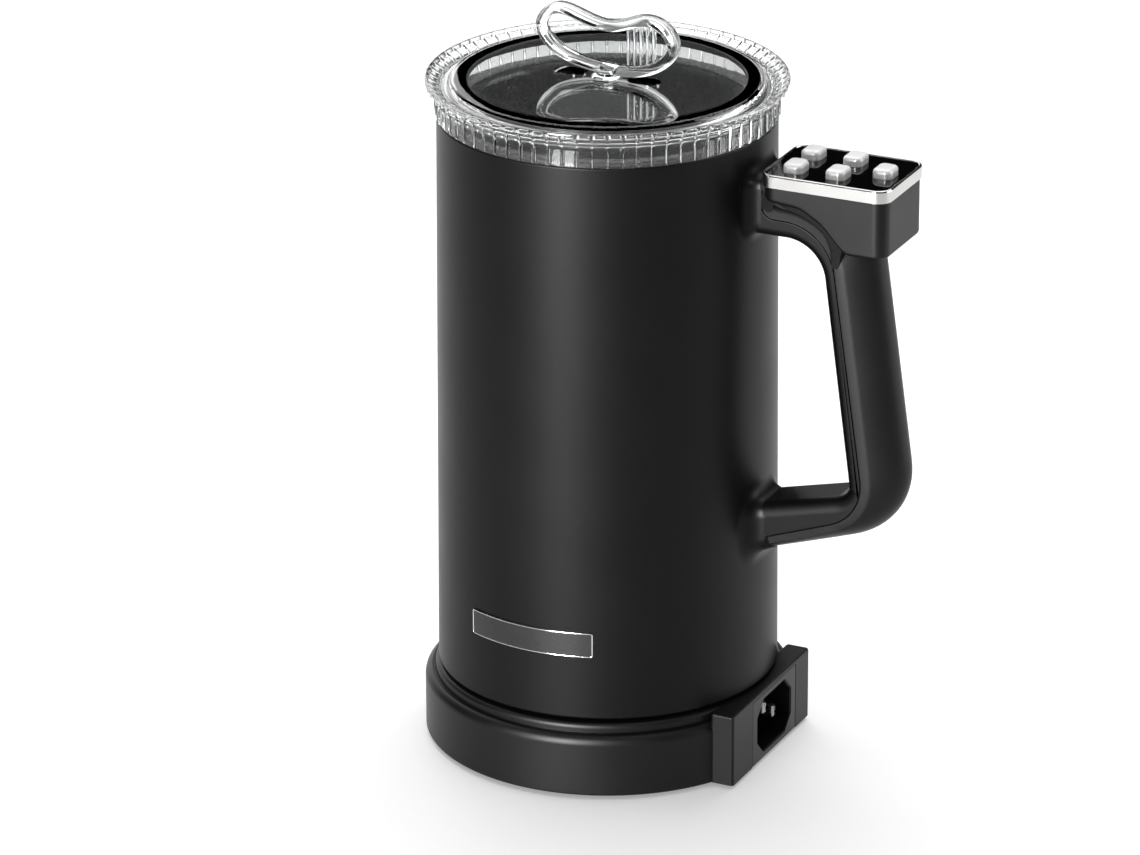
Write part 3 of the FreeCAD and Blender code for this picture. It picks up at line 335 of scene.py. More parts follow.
def grid(rows, columns, wrap_rows=False, wrap_columns=False):
    """Quads of a grid of points, joined end to end where it wraps."""
    r, c = np.meshgrid(np.arange(rows if wrap_rows else rows - 1),
                       np.arange(columns if wrap_columns else columns - 1), indexing="ij")
    r2, c2 = (r + 1) % rows, (c + 1) % columns
    quads = (r * columns + c, r * columns + c2, r2 * columns + c2, r2 * columns + c)
    return np.stack(quads, -1).reshape(-1, 4).tolist()


def ladder(points, across, first):
    """End face as strips across an outline that mirrors itself, so that it can follow a bend."""
    middle = (points[:, across].min() + points[:, across].max()) / 2
    flipped = points.copy()
    flipped[:, across] = 2 * middle - flipped[:, across]
    twin = [int(np.argmin(np.sum((flipped - p) ** 2, 1))) for p in points]
    upper = points[:, across] >= middle - 1e-6
    start = next(i for i in range(len(points)) if upper[i] and not upper[i - 1])
    chain = [(start + k) % len(points) for k in range(int(upper.sum()))]
    faces = []
    for a, b in zip(chain, chain[1:]):
        corners = list(dict.fromkeys((a, b, twin[b], twin[a])))
        faces.append([first + corner for corner in corners])
    return faces


def stacked(points, layers, place=plan, across=None):
    """Solid from an outline; a layer is (height, inset), each a number or one per point."""
    count = len(points)
    rings = [place(*inset(points, inward).T, height + np.zeros(count))
             for height, inward in layers]
    faces = grid(len(rings), count, wrap_columns=True)
    for first in (0, (len(rings) - 1) * count):
        if across is None:
            faces.append(list(range(first, first + count)))
        else:
            faces += ladder(points, across, first)
    return np.concatenate(rings), faces


def edge(low, high, low_round, high_round, steps=5):
    """Layers from low to high whose ends are rounded over."""
    quarter = np.linspace(0, math.pi / 2, steps + 1)
    layers = []
    if np.any(low_round):
        layers += [(low + low_round * (1 - math.sin(a)), low_round * (1 - math.cos(a)))
                   for a in quarter[::-1]]
    else:
        layers.append((low, 0.0))
    if np.any(high_round):
        layers += [(high - high_round * (1 - math.sin(a)), high_round * (1 - math.cos(a)))
                   for a in quarter]
    else:
        layers.append((high, 0.0))
    return layers


def swept(points, section, place=plan):
    """Ring: the section, a closed loop of (inset, height), goes round an outline."""
    rings = [place(*inset(points, inward).T, height + np.zeros(len(points)))
             for inward, height in section]
    return np.concatenate(rings), grid(len(rings), len(points), True, True)


def turned(section, angles=144, wave=None):
    """Solid of revolution from a loop of (radius, z[, dr, dz]); wave(angles) scales dr, dz."""
    if isinstance(angles, int):
        angles = np.linspace(0, 2 * math.pi, angles, endpoint=False)
    rows = np.array([(list(point) + [0, 0])[:4] for point in section], float)
    swing = wave(angles) if wave else np.zeros(len(angles))
    radius = rows[:, 0:1] + rows[:, 2:3] * swing
    height = rows[:, 1:2] + rows[:, 3:4] * swing
    points = np.stack((radius * np.cos(angles), radius * np.sin(angles), height), -1)
    return points.reshape(-1, 3), grid(len(rows), len(angles), True, True)


def moved(part, x=0.0, y=0.0, z=0.0):
    return part[0] + np.array((x, y, z)), part[1]


def mesh_of(name, parts):
    """One mesh, in metres, from parts in millimetres; merged, with normals outwards."""
    points, faces, kinds, first = [], [], [], 0
    for part in parts:
        points.append(part[0])
        faces += [[index + first for index in face] for face in part[1]]
        kinds += [part[2] if len(part) > 2 else 0] * len(part[1])
        first += len(part[0])
    mesh = bpy.data.meshes.new(name)
    mesh.from_pydata((np.concatenate(points) / 1000).tolist(), [], faces)
    mesh.polygons.foreach_set("material_index", kinds)
    tidy = bmesh.new()
    tidy.from_mesh(mesh)
    bmesh.ops.remove_doubles(tidy, verts=tidy.verts, dist=1e-7)
    bmesh.ops.recalc_face_normals(tidy, faces=tidy.faces)
    tidy.to_mesh(mesh)
    tidy.free()
    return mesh


def joined(name, base, others, operation):
    """Boolean of closed meshes: others are united with the base or cut from it."""
    item = bpy.data.objects.new(name, mesh_of(name, base))
    bpy.context.scene.collection.objects.link(item)
    tools = []
    for index, other in enumerate(others):
        tool = bpy.data.objects.new(f"{name}_tool{index}", mesh_of("tool", [other]))
        bpy.context.scene.collection.objects.link(tool)
        change = item.modifiers.new("boolean", "BOOLEAN")
        change.operation, change.object, change.solver = operation, tool, "EXACT"
        tools.append(tool)
    bpy.context.view_layer.update()
    made = bpy.data.meshes.new_from_object(
        item.evaluated_get(bpy.context.evaluated_depsgraph_get()))
    for old in (item, *tools):
        bpy.data.objects.remove(old)
    return made


def piece(name, mesh, slots, body, replaces=(), crease=38, weighted=True):
    """Links a mesh as a visible piece of a body, with the materials of the record's slots."""
    for slot in slots:
        mesh.materials.append(materials[slot])
    mesh.shade_smooth()
    mesh.set_sharp_from_angle(angle=math.radians(crease))
    item = bpy.data.objects.new(name, mesh)
    bpy.context.scene.collection.objects.link(item)
    if weighted:
        even = item.modifiers.new("weighted", "WEIGHTED_NORMAL")
        even.keep_sharp = True
    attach(item, body)
    if replaces:
        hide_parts(*replaces)
    return item


def smooth_loop(knots, count):
    """Closed cubic curve through knots, as points."""
    knots = np.array(knots, float)
    chord = np.linalg.norm(np.roll(knots, -1, 0) - knots, axis=1)
    size = len(knots)
    system, target = np.zeros((size, size)), np.zeros((size, 2))
    for i in range(size):
        j, a, b = (i + 1) % size, chord[i - 1], chord[i]
        system[i, i - 1], system[i, i], system[i, j] = b, 2 * (a + b), a
        target[i] = 3 * (b * (knots[i] - knots[i - 1]) / a + a * (knots[j] - knots[i]) / b)
    slope = np.linalg.solve(system, target)
    points = []
    for i in range(size):
        j, reach = (i + 1) % size, chord[i]
        for t in np.linspace(0, 1, math.ceil(count * reach / chord.sum()), endpoint=False):
            points.append((2 * t**3 - 3 * t**2 + 1) * knots[i]
                          + (t**3 - 2 * t**2 + t) * reach * slope[i]
                          + (3 * t**2 - 2 * t**3) * knots[j]
                          + (t**3 - t**2) * reach * slope[j])
    return np.array(points)


# ---------------------------------------------------------------- jug

GRIP_HALF = 9.3          # half the handle's width
BAND = 2.5               # flat band of the grip beside the seam
SEAM_RELIEF = 0.3        # groove along the seam of the handle's halves
WALL_TOP_RADIUS = 49.45  # outside of the jug at its rim


def parting_line():
    """Line in the XZ plane where the two halves of the handle meet, from the top down."""
    return [(54.5, 183.5), (51.3, 172.0, 4.0), (73.45, 171.8, 16.0), (85.9, 85.0, 14.0),
            (55.5, 74.0)]


def wall_radius(z):
    """Outside radius of the jug's slightly tapered wall."""
    low, high = span("jug_shell")
    bottom = -low[0]
    return bottom + (WALL_TOP_RADIUS - bottom) * (z - low[2]) / (high[2] - low[2])


def fillet(root, blend, tilt=0.0):
    """Bead that rounds the corner between the wall and a stub of the handle that rises by tilt."""

    def on_wall(u, v, h):
        return np.stack((np.sqrt((wall_radius(v) + h) ** 2 - u**2), u, v + tilt * h), -1)

    buried, sunk = 0.8, -0.6
    section = [(-blend * (1 - math.sin(a)), blend * (1 - math.cos(a)))
               for a in np.linspace(0, math.pi / 2, 13)]
    section += [(buried, blend), (buried, sunk), (-blend, sunk)]
    return swept(root, section, on_wall)


def near(points, line):
    """Distance of each point to a line of points."""
    starts, ends = line[:-1], line[1:]
    run = ends - starts
    length = np.sum(run**2, 1)
    share = np.clip(np.einsum("ijk,jk->ij", points[:, None] - starts, run) / length, 0, 1)
    gaps = points[:, None] - (starts + share[..., None] * run)
    return np.linalg.norm(gaps, axis=2).min(1)


def make_shell():
    """Jug wall with the inner strip of the handle and the filleted roots of its two arms."""
    low, high = span("jug_shell")
    top, bottom = high[2], low[2]
    radius_low, wall = -low[0], 2.2
    section = outline([
        (radius_low - wall, bottom), (radius_low, bottom, 0.8), (WALL_TOP_RADIUS, top, 0.5),
        (WALL_TOP_RADIUS - wall, top, 0.5)], spacing=12, turn=15)
    strip = outline([(47.55, 183.5)] + parting_line() + [
        (56.8, 69.5), (48.45, 66.5), (48.45, 82.3), (80.6, 90.2, 5.0), (70.4, 166.4, 12.0),
        (47.55, 166.4)], spacing=3.0, turn=5)
    seam = outline(parting_line(), spacing=3.0, turn=5, closed=False)
    crisp, arm_round, grip_round = 0.25, 4.2, 3.0
    arm_top, inside_wall = 93, 49
    sharp = (near(strip, seam) < 0.05) | (strip[:, 0] < inside_wall)
    rounding = np.where(sharp, crisp, np.where(strip[:, 1] < arm_top, arm_round, grip_round))
    stub = oblong((-GRIP_HALF, 167.2), (GRIP_HALF, 183.4), 3.0, spacing=1.2)
    seam_x = np.interp(stub[:, 1], [168, 172, 175, 183.5], [52.5, 52.3, 52.2, 54.4])
    stub_start, stub_blend = 44.0, 4.0
    arm = oblong((-GRIP_HALF, 67.4), (GRIP_HALF, 82.2), 4.2, spacing=1.5)
    arm_blend, arm_tilt = 5.2, 0.26
    parts = [turned(section, 192),
             stacked(strip, edge(-GRIP_HALF, GRIP_HALF, rounding, rounding, 6), side),
             stacked(stub, [(stub_start, 0.0), (seam_x, 0.0)], front),
             fillet(stub, stub_blend),
             fillet(arm, arm_blend, arm_tilt)]
    piece("shell_skin", mesh_of("shell_skin", parts), ["satin_black_coat"], "jug", ["jug_shell"])


def resample(line, shares):
    """Points at the given shares of a line's length."""
    length = np.concatenate(([0], np.cumsum(np.linalg.norm(np.diff(line, axis=0), axis=1))))
    return np.stack([np.interp(np.asarray(shares) * length[-1], length, line[:, i])
                     for i in range(2)], 1)


def make_grip():
    """D-shaped grip: flat bands beside the seam, then a crowned outside, lofted end to end."""
    seam_parts = [outline([(55.5, 74.0), (70.0, 79.25)], 1.5, closed=False),
                  outline([(70.0, 79.25), (85.9, 85.0, 14.0), (82.46, 109.0)], 1.0, 4, False),
                  outline([(82.46, 109.0), (75.5, 157.4)], 3.0, closed=False),
                  outline([(75.5, 157.4), (73.45, 171.8, 16.0), (58.0, 171.8)], 1.0, 4, False)]
    back_parts = [outline([(56.9, 69.0), (74.5, 74.55)], 1.5, closed=False),
                  outline([(74.5, 74.55), (98.8, 82.4, 22.0), (95.1, 109.0)], 1.0, 4, False),
                  outline([(95.1, 109.0), (88.2, 158.0)], 3.0, closed=False),
                  outline([(88.2, 158.0), (85.6, 176.5)], 1.0, closed=False)]
    counts, reaches = (10, 26, 14, 12), (1, 1, 1, 0.55)
    seam, back = [], []
    for front_part, back_part, count, reach in zip(seam_parts, back_parts, counts, reaches):
        shares = np.linspace(0, 1, count, endpoint=False)
        seam.append(resample(front_part, shares * reach))
        back.append(resample(back_part, shares))
    seam, back = np.concatenate(seam), np.concatenate(back)
    depth = np.linalg.norm(back - seam, axis=1)
    lean = math.radians(34)
    widest = GRIP_HALF - 0.05
    crown = [(widest * math.cos(a) / math.cos(lean),
              (math.sin(a) - math.sin(lean)) / (1 - math.sin(lean)))
             for a in np.linspace(lean, math.pi - lean, 33)]
    rows = []
    for s_point, b_point, deep in zip(seam, back, depth):
        band = min(BAND, deep * 0.45)
        ring = [(-widest + SEAM_RELIEF, 0.0), (-widest, SEAM_RELIEF)]
        ring += [(-half, band + (deep - band) * rise) for half, rise in crown]
        ring += [(widest, SEAM_RELIEF), (widest - SEAM_RELIEF, 0.0)]
        way = (b_point - s_point) / deep
        rows.append([(s_point[0] + way[0] * d, y, s_point[1] + way[1] * d) for y, d in ring])
    points = np.array(rows)
    faces = grid(points.shape[0], points.shape[1], wrap_columns=True)
    count = points.shape[1]
    faces += [list(range(count)), list(range((len(rows) - 1) * count, len(rows) * count))]
    return points.reshape(-1, 3), faces


def make_neck():
    """Neck beside the seam: a flat band, then a cove that sweeps out to the housing's width."""
    neck = outline([(54.2, 181.8), (51.3, 172.0, 4.0), (73.45, 171.8, 16.0), (75.2, 160.0),
                    (76.6, 160.2), (79.6, 168.0), (80.2, 181.8)], 1.2, 4)
    seam = outline(parting_line(), spacing=1.2, turn=4, closed=False)
    tolerance = 0.3
    beside = near(neck, seam) < tolerance
    below_panel = neck[:, 1] < 174.5
    along = np.clip((neck[:, 0] - 52.0) / 4.5, 0, 1)
    away = np.clip((neck[:, 0] - 53.0) / 8.0, 0, 1)
    fade = np.clip((neck[:, 1] - 161.0) / 7.0, 0, 1)
    deepest, band_share, rise = 5.8, 0.42, 4.8 * 0.95
    room = np.where(beside & below_panel, deepest * along**2 * (3 - 2 * along) * fade, 0.0)
    lift = rise * fade * away**2 * (3 - 2 * away)
    layers = [(-GRIP_HALF - lift * (1 - math.cos(a)),
               room * (band_share + (1 - band_share) * math.sin(a)))
              for a in np.linspace(math.pi / 2, 0, 13)]
    layers += [(-GRIP_HALF, np.where(beside, SEAM_RELIEF, 0.0)), (SEAM_RELIEF - GRIP_HALF, 0.0)]
    layers += [(-height, inward) for height, inward in layers[::-1]]
    return stacked(neck, layers, side)


def make_housing():
    """Open tray under the panel, with a bottom that follows the neck up to the wall."""
    panel_bottom = span("panel_trim")[0][2]
    start, end, half, wall = 54.7, 93.0, 14.4, 2.2
    roof, tray = panel_bottom + 0.8, panel_bottom - 1.5
    underside = outline([(50, 178.9), (58.0, 178.7), (66.8, 177.9, 9.0), (73.5, 173.8),
                         (80.4, 166.5, 4.0), (95, 166.5)], spacing=1.5, turn=6, closed=False)
    box = oblong((start, -half), (end, half), 4.0, spacing=1.5)
    soften = np.interp(box[:, 0], [76, 82], [1.6, 1.2])
    layers = []
    for a in np.linspace(math.pi / 2, 0, 6):
        inward = soften * (1 - math.cos(a))
        under = np.interp(inset(box, inward)[:, 0], underside[:, 0], underside[:, 1])
        layers.append((under + soften * (1 - math.sin(a)), inward))
    layers += [(roof, 0.0), (roof, wall), (tray, wall)]
    return stacked(box, layers, plan, across=1)


def make_handle():
    """Outer half of the handle."""
    parts = [make_grip(), make_neck(), make_housing()]
    piece("handle_skin", mesh_of("handle_skin", parts), ["handle_plastic"], "jug",
          ["handle_cover"])


def make_liner():
    """Coated inner vessel with a rolled rim."""
    low, high = span("jug_liner")
    inner, wall = 40.6, 1.2
    floor, rim, outer = low[2], high[2], high[0]
    section = outline([
        (0, floor), (inner + wall, floor, 6.0), (inner + wall, 190.6, 1.0), (outer, 191.5, 0.6),
        (outer, rim, 0.9), (inner, rim, 3.0), (inner, floor + wall, 4.8), (0, floor + wall)],
        spacing=14, turn=10)
    piece("liner_skin", mesh_of("liner_skin", [turned(section, 192)]), ["liner_coating"],
          "jug", ["jug_liner"])


# ---------------------------------------------------------------- panel and badge


def make_panel():
    """Chrome band with a rounded lip and a ledge for the plate; the plate's edges are softened."""
    low, high = span("panel_trim")
    ring = oblong(low[:2], high[:2], 4.5, spacing=4)
    bottom, top, ledge = low[2], high[2], high[2] - 1.8
    lip, wall, chamfer = 1.1, 1.7, 0.25
    section = [(0.0, bottom + chamfer), (0.0, top - 0.6), (0.1, top - 0.28), (0.32, top - 0.08),
               (0.6, top), (0.82, top - 0.08), (1.0, top - 0.25), (lip, top - 0.6),
               (lip, ledge), (wall, ledge), (wall, bottom), (chamfer, bottom)]
    piece("trim_skin", mesh_of("trim_skin", [swept(ring, section)]), ["chrome"], "jug",
          ["panel_trim"])
    plate = frame["nodes"]["panel_plate"]
    soften = plate.modifiers.new("bevel", "BEVEL")
    soften.width, soften.segments, soften.limit_method = 0.00015, 2, "ANGLE"


def make_buttons():
    """Domed key caps, each with a lip that holds it under the plate."""
    for key in ("thick", "thin", "cold", "hot", "power"):
        low, high = span("button_" + key)
        lip, lip_top = 0.7, low[2] + 1.4
        cap = oblong(low[:2] + lip, high[:2] - lip, 2.0, spacing=2, turn=9)
        top = high[2]
        layers = [(low[2], -lip), (lip_top, -lip), (lip_top, 0.0), (top - 1.35, 0.0),
                  (top - 1.0, 0.04), (top - 0.7, 0.15), (top - 0.45, 0.33), (top - 0.25, 0.58),
                  (top - 0.12, 0.9), (top - 0.05, 1.3), (top, 1.9)]
        piece(key + "_cap", mesh_of(key + "_cap", [stacked(cap, layers)]), ["button_white"],
              "key_" + key, ["button_" + key])


def make_badge():
    """Plate bent round the jug's front, with a thin raised frame and no lettering."""
    low, high = span("badge_plate")
    radius, middle, half_angle = 50.43, math.radians(-93.0), math.radians(46.3 / 2)
    reach = radius * half_angle

    def curved(u, v, h):
        angle = middle + u / radius
        return np.stack(((radius + h) * np.cos(angle), (radius + h) * np.sin(angle), v), -1)

    plate = oblong((-reach, low[2]), (reach, high[2]), 0.8, spacing=1.2)
    inward, height, half_width, rise = 0.26, 0.28, 0.2, 0.16
    frame_line = [(inward - half_width * math.cos(a), height + rise * math.sin(a))
                  for a in np.linspace(0, math.pi, 9)]
    second_slot = 1
    parts = [stacked(plate, [(-0.4, 0.0), (0.3, 0.0), (0.36, 0.06)], curved, across=1),
             (*swept(plate, frame_line, curved), second_slot)]
    piece("badge_skin", mesh_of("badge_skin", parts), ["badge_face", "chrome"], "jug",
          ["badge_plate"])


# ---------------------------------------------------------------- lid

RIBS = 72
RIB_STEP = 2 * math.pi / RIBS
RIB_RADIUS = 49.6
RIB_HALF = 0.46


def rib_angles():
    """Angles that are close together at each rib and far apart between ribs."""
    half = [0.2, 0.38, RIB_HALF, 1.3]
    offsets = np.array([-u for u in half[::-1]] + [0.0] + half) / RIB_RADIUS
    return (np.arange(RIBS)[:, None] * RIB_STEP + offsets).ravel()


def rib_wave(angles):
    """Height of the ribs' rounded profile, 0 between ribs and 1 on top of each."""
    off = (angles + RIB_STEP / 2) % RIB_STEP - RIB_STEP / 2
    return np.clip(1 - (off * RIB_RADIUS / RIB_HALF) ** 2, 0, 1) ** 0.6


def make_lid():
    """Clear cover: ribbed skirt and flange, flat disc with two vents and a rim that holds the
    gasket."""
    low, high = span("lid_cover")
    bottom, top, rim = low[2], high[2], high[0]
    disc, under = 204.5, 204.5 - 1.6
    rib, notch = 0.6, 200.4
    section = [
        (48.0, bottom), (48.4, bottom), (49.35, bottom, 0.15, 0),
        (49.5, bottom + 0.4, rib, 0), (49.5, bottom + 4, rib, 0), (49.5, bottom + 7.2, rib, 0),
        (50.3, bottom + 8.3, 0.4, -0.3), (51.4, bottom + 9.0, 0.2, -0.5),
        (52.4, top - 1.75, 0.1, -0.45), (rim - 0.08, top - 1.1), (rim, top - 0.6),
        (rim - 0.12, top - 0.2), (rim - 0.45, top), (rim - 0.9, top - 0.15),
        (rim - 1.4, top - 0.75, 0, 0.4), (50.4, top - 1.6, 0, 0.6), (49.2, top - 2.15, 0, 0.45),
        (48.5, top - 2.35), (47.4, top - 2.4), (46.3, top - 2.3), (45.7, top - 1.9),
        (45.4, disc - 0.4), (45.1, disc - 0.08), (44.6, disc), (36, disc), (24, disc), (12, disc),
        (2.1, disc), (2.1, under), (12, under), (24, under), (36, under),
        (44.2, under), (44.3, notch + 0.2), (44.6, notch), (45.1, notch), (45.4, notch + 0.3),
        (45.6, notch + 0.6), (47.6, notch + 0.6), (48.0, notch + 0.2)]
    cover = [turned(section, rib_angles(), rib_wave)]
    vent_middle, vent_long, vent_short = 11.7, 5.0, 3.2
    cutters = []
    for way in (-1, 1):
        vent = oblong((way * vent_middle - vent_long, -vent_short),
                      (way * vent_middle + vent_long, vent_short), 3.1, spacing=3, turn=9)
        cutters.append(stacked(vent, [(disc - 3, 0.0), (disc + 2, 0.0)]))
    piece("lid_skin", joined("lid_skin", cover, cutters, "DIFFERENCE"), ["clear_plastic"],
          "lid", ["lid_cover"], crease=50, weighted=False)


def make_gasket():
    """Seal ring under the lid's disc, with an L-shaped section."""
    low, high = span("lid_gasket")
    bottom, top, shelf = low[2], high[2], high[2] - 1.4
    inner, lip, outer = 40.0, 42.5, 44.1
    ring = outline([(inner, shelf, 0.4), (lip, shelf, 0.4), (lip, bottom, 0.5),
                    (outer, bottom, 0.6), (outer, top, 0.2), (inner, top, 0.6)],
                   spacing=2, turn=15)
    piece("gasket_skin", mesh_of("gasket_skin", [turned(ring, 192)]), ["gasket_silicone"],
          "lid", ["lid_gasket"])


def make_loop():
    """Clear bean-shaped grip: rounded rim, thin web with ridges, flared stub and peg."""
    base = 205.3
    knots = [(7.0, 0.0), (16.5, 2.6), (22.7, 10.5), (19.0, 17.5), (12.0, 19.3), (2.0, 16.4),
             (-8.0, 18.2), (-16.5, 19.4), (-22.2, 13.5), (-18.8, 6.0), (-8.5, 1.2)]
    bean = smooth_loop([(x, base + z) for x, z in knots], 150)
    rim, half, squareness = 3.4, 2.8, 0.85
    section = []
    for a in np.linspace(0, 2 * math.pi, 20, endpoint=False):
        c, s = math.cos(a), math.sin(a)
        section.append((rim / 2 - math.copysign(abs(c) ** squareness, c) * rim / 2,
                        math.copysign(abs(s) ** squareness, s) * half))
    body = [swept(bean, section, side)]
    web_half, web_inset = 0.8, 2.2
    web = stacked(bean, [(-web_half, web_inset), (web_half, web_inset)], side)
    first, pitch, long, short, overlap = 7.0, 2.0, 1.35, 0.55, 0.2
    inside = inset(bean, web_inset + overlap)
    around = np.linspace(0, 2 * math.pi, 16, endpoint=False)
    ridges = []
    for index in range(5):
        x = first + pitch * index
        close = inside[np.abs(inside[:, 0] - x) < 1.2, 1]
        column = np.stack((x + short * np.cos(around), long * np.sin(around)), 1)
        ridges.append(stacked(column, [(close.min() + overlap, 0.0),
                                       (close.max() - overlap, 0.0)]))
    peg, shoulder = 1.9, 204.55
    stub = turned(outline([(0, 199.8), (peg, 199.8), (peg, shoulder), (4.6, shoulder),
                           (3.4, 205.2, 0.8), (3.2, 206.2), (4.0, 207.2), (0, 207.2)],
                          spacing=3, turn=12), 48)
    piece("loop_skin", joined("loop_skin", body, [web, *ridges, stub], "UNION"),
          ["clear_plastic"], "lid", ["lid_handle"], crease=50, weighted=False)


# ---------------------------------------------------------------- base


BLOCK_FACE = 53.4        # the plane of the block that carries the inlet
BASE_TOP = 22.8          # the step that the jug stands on


def make_base():
    """Stepped ring that is open behind the inlet, and the block with the inlet's pocket."""
    low, high = span("base_housing")
    radius, bottom, roof = -low[0], low[2], high[2]
    inlet_low, inlet_high = span("inlet_socket")
    shoulder, wall = 20.0, 2.2
    ring = turned(outline([
        (51.8, bottom), (radius - 0.4, bottom), (radius, bottom + 0.5, 0.3),
        (radius, shoulder, 3.0), (52.35, shoulder, 0.25), (52.2, shoulder - 0.7),
        (51.6, shoulder - 0.7), (51.5, shoulder), (51.5, BASE_TOP, 1.6), (12.0, BASE_TOP),
        (12.0, BASE_TOP - wall), (49.0, BASE_TOP - wall), (49.0, shoulder - 2.6),
        (51.8, shoulder - 2.6)], spacing=10, turn=10), 192)
    below = bottom - 1
    behind_inlet, gap_half, gap_top = 46.3, 27.4, 19.6
    gap = stacked(oblong((behind_inlet, -gap_half), (60, gap_half), 0.5),
                  [(below, 0.0), (gap_top, 0.0)])
    block_start, block_half = 46.0, 28.0
    block = stacked(oblong((block_start, -block_half), (BLOCK_FACE, block_half), 1.0, spacing=4),
                    [(bottom, 0.0), (roof - 0.8, 0.0), (roof - 0.35, 0.12), (roof - 0.1, 0.4),
                     (roof, 0.9)])
    play = 0.15
    pocket = stacked(oblong((44.0, inlet_low[1] - play), (BLOCK_FACE + 2, inlet_high[1] + play),
                            0.2), [(below, 0.0), (inlet_high[2] + 0.1, 0.0)])
    jug_foot, foot_low, foot_high = 51.35, BASE_TOP + 0.1, 26
    foot = turned([(0, foot_low), (jug_foot, foot_low), (jug_foot, foot_high), (0, foot_high)], 192)
    shell = joined("base_skin", [ring], [gap], "DIFFERENCE")
    whole = bmesh.new()
    whole.from_mesh(shell)
    whole.from_mesh(joined("block", [block], [pocket, foot], "DIFFERENCE"))
    whole.to_mesh(shell)
    whole.free()
    piece("base_skin", shell, ["black_plastic"], "base", ["base_housing"], crease=30)


def make_inlet():
    """Socket module with an eight-sided recess, and its three pins."""
    low, high = span("inlet_socket")
    module = stacked(oblong(low[1:], (high[1], high[2]), 0.6, spacing=3),
                     [(38.0, 0.0), (BLOCK_FACE - 0.3, 0.0), (BLOCK_FACE - 0.08, 0.08),
                      (BLOCK_FACE, 0.3)], front)
    middle, half, slope, floor_z, ceiling = (low[1] + high[1]) / 2, 12.2, 4.5, 3.3, 20.1
    left, right, corner = middle - half, middle + half, 0.8
    octagon = outline([
        (left, floor_z + slope, corner), (left + slope, floor_z, corner),
        (right - slope, floor_z, corner), (right, floor_z + slope, corner),
        (right, ceiling - slope, corner), (right - slope, ceiling, corner),
        (left + slope, ceiling, corner), (left, ceiling - slope, corner)], spacing=3)
    recess = stacked(octagon, [(39.4, 0.3), (39.8, 0.0), (BLOCK_FACE - 0.5, 0.0),
                               (BLOCK_FACE - 0.1, -0.3), (BLOCK_FACE + 1, -0.6)], front)
    piece("inlet_skin", joined("inlet_skin", [module], [recess], "DIFFERENCE"),
          ["inlet_plastic"], "base", ["inlet_socket"], crease=30)
    prongs = []
    for y, z in ((-5.0, 9.7), (9.0, 9.7), (2.0, 13.7)):
        blade = oblong((y - 1, z - 2), (y + 1, z + 2), 0.35, spacing=3, turn=15)
        prongs.append(stacked(blade, [(39.0, 0.0), (49.4, 0.0), (50.1, 0.25), (50.4, 0.6)], front))
    piece("prongs_skin", mesh_of("prongs_skin", prongs), ["pin_metal"], "base", ["inlet_pins"])


def make_feet():
    """Four round pads with a softened edge."""
    top, radius, spot = span("base_feet")[1][2], 4.0, 45.0 / math.sqrt(2)
    pad = turned(outline([(0, 0.0), (radius, 0.0, 0.5), (radius, top), (0, top)],
                         spacing=3, turn=15), 36)
    pads = [moved(pad, x * spot, y * spot) for x in (-1, 1) for y in (-1, 1)]
    piece("feet_skin", mesh_of("feet_skin", pads), ["foot_rubber"], "base", ["base_feet"])


# ---------------------------------------------------------------- whisk


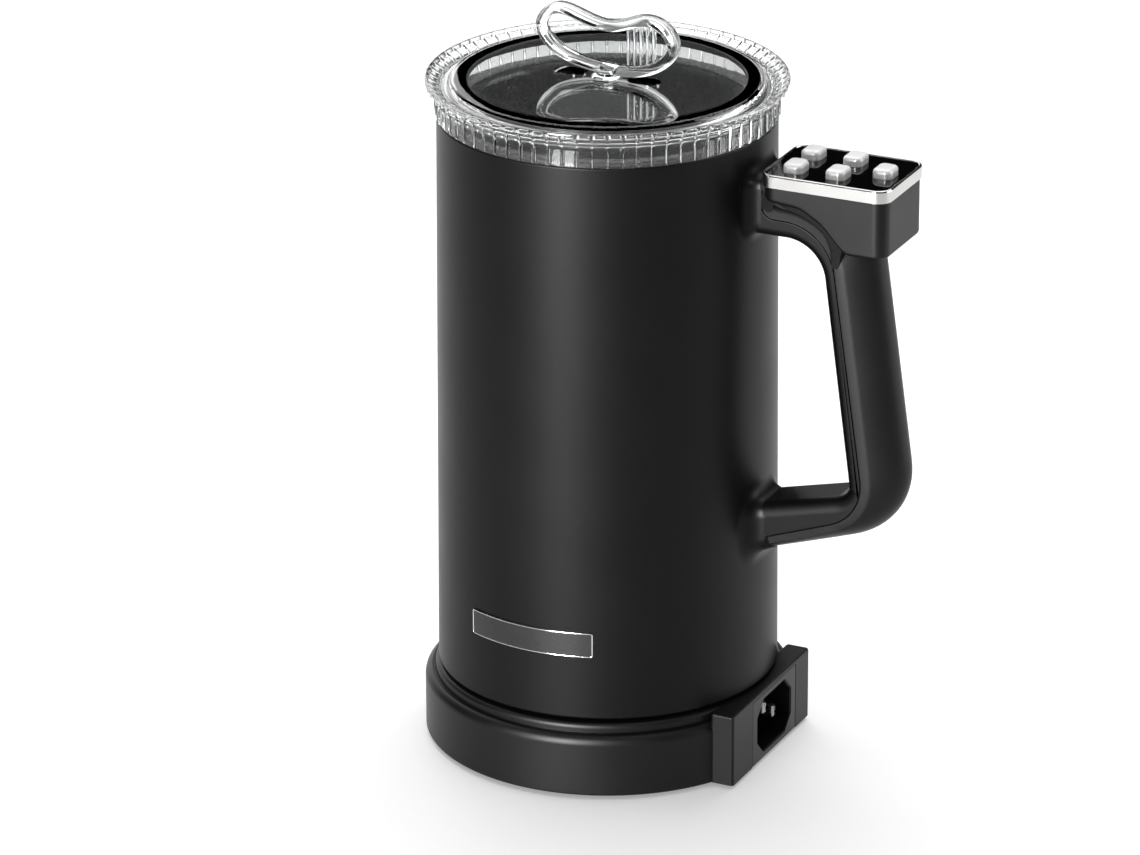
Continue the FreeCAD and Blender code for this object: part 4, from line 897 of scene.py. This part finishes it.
def make_whisk():
    """Ball knob on a stalk, offset square hub and a four-lobed foot."""
    low, high = span("whisk_body")
    foot_top, hub_top = low[2] + 9.8, 113.0
    long, lobe, short, waist = 19.8, 5.0, 13.0, 6.5
    tip, nook = lobe - 0.2, 2.5
    cross = outline([
        (long, -lobe, tip), (long, lobe, tip), (waist, lobe, nook), (waist, short, 5.0),
        (-waist, short, 5.0), (-waist, lobe, nook), (-long, lobe, tip), (-long, -lobe, tip),
        (-waist, -lobe, nook), (-waist, -short, 5.0), (waist, -short, 5.0),
        (waist, -lobe, nook)], spacing=2, turn=9)
    stalk, knob, knob_low, knob_high = 3.75, 6.25, 130.0, high[2]
    head = turned(outline([
        (0, hub_top - 1), (stalk, hub_top - 1), (stalk, knob_low, 0.6), (knob, knob_low, 3.4),
        (knob, knob_high, 5.0), (0, knob_high)], spacing=3, turn=10), 64)
    step_top = (foot_top + hub_top) / 2 + 1.5
    parts = [
        stacked(cross, edge(low[2], foot_top, 0.8, 1.2)),
        stacked(oblong((-8.0, -6.5), (4.5, 4.5), 1.0), edge(foot_top - 1, step_top, 0, 0.7)),
        stacked(oblong((-5.0, -5.0), (5.0, 5.0), 1.0), edge(foot_top + 4, hub_top, 0, 0.7)), head]
    piece("whisk_skin", mesh_of("whisk_skin", parts), ["whisk_plastic"], "whisk", ["whisk_body"])


def make_coil():
    """Froth coil: a wire wound round a ring, and the hoop that carries it."""
    ring, tube, wire, turns = 27.5, 7.2, 0.35, 50
    low, high = span("whisk_coil")
    centre = (low[2] + high[2]) / 2
    curve = bpy.data.curves.new("coil", "CURVE")
    curve.dimensions = "3D"
    curve.bevel_depth = wire / 1000
    curve.bevel_resolution = 2
    line = curve.splines.new("POLY")
    samples = 24 * turns
    line.points.add(samples - 1)
    line.use_cyclic_u = True
    for index in range(samples):
        around = 2 * math.pi * index / samples
        swing = around * turns
        reach = ring - tube * math.cos(swing)
        line.points[index].co = (reach * math.cos(around) / 1000, reach * math.sin(around) / 1000,
                                 (centre + tube * math.sin(swing)) / 1000, 1)
    holder = bpy.data.objects.new("coil_line", curve)
    bpy.context.scene.collection.objects.link(holder)
    bpy.context.view_layer.update()
    mesh = bpy.data.meshes.new_from_object(
        holder.evaluated_get(bpy.context.evaluated_depsgraph_get()))
    bpy.data.objects.remove(holder)
    mesh.materials.clear()
    piece("coil_skin", mesh, ["wire_steel"], "whisk", ["whisk_coil"], weighted=False)
    thickness = 0.45
    hoop = [(ring + thickness * math.cos(a), centre + thickness * math.sin(a))
            for a in np.linspace(0, 2 * math.pi, 12, endpoint=False)]
    piece("hoop_skin", mesh_of("hoop_skin", [turned(hoop, 160)]), ["wire_steel"], "whisk",
          ["whisk_hoop"], weighted=False)


# ---------------------------------------------------------------- assembly


def dress_nodes():
    """The CAD nodes that stay on show take the material of their slot."""
    for name, node in frame["nodes"].items():
        node.data.materials.clear()
        node.data.materials.append(materials[slot_of[name]])


make_camera()
make_studio()
materials = make_materials()
dress_nodes()
make_shell()
make_handle()
make_liner()
make_panel()
make_buttons()
make_badge()
make_lid()
make_gasket()
make_loop()
make_base()
make_inlet()
make_feet()
make_whisk()
make_coil()
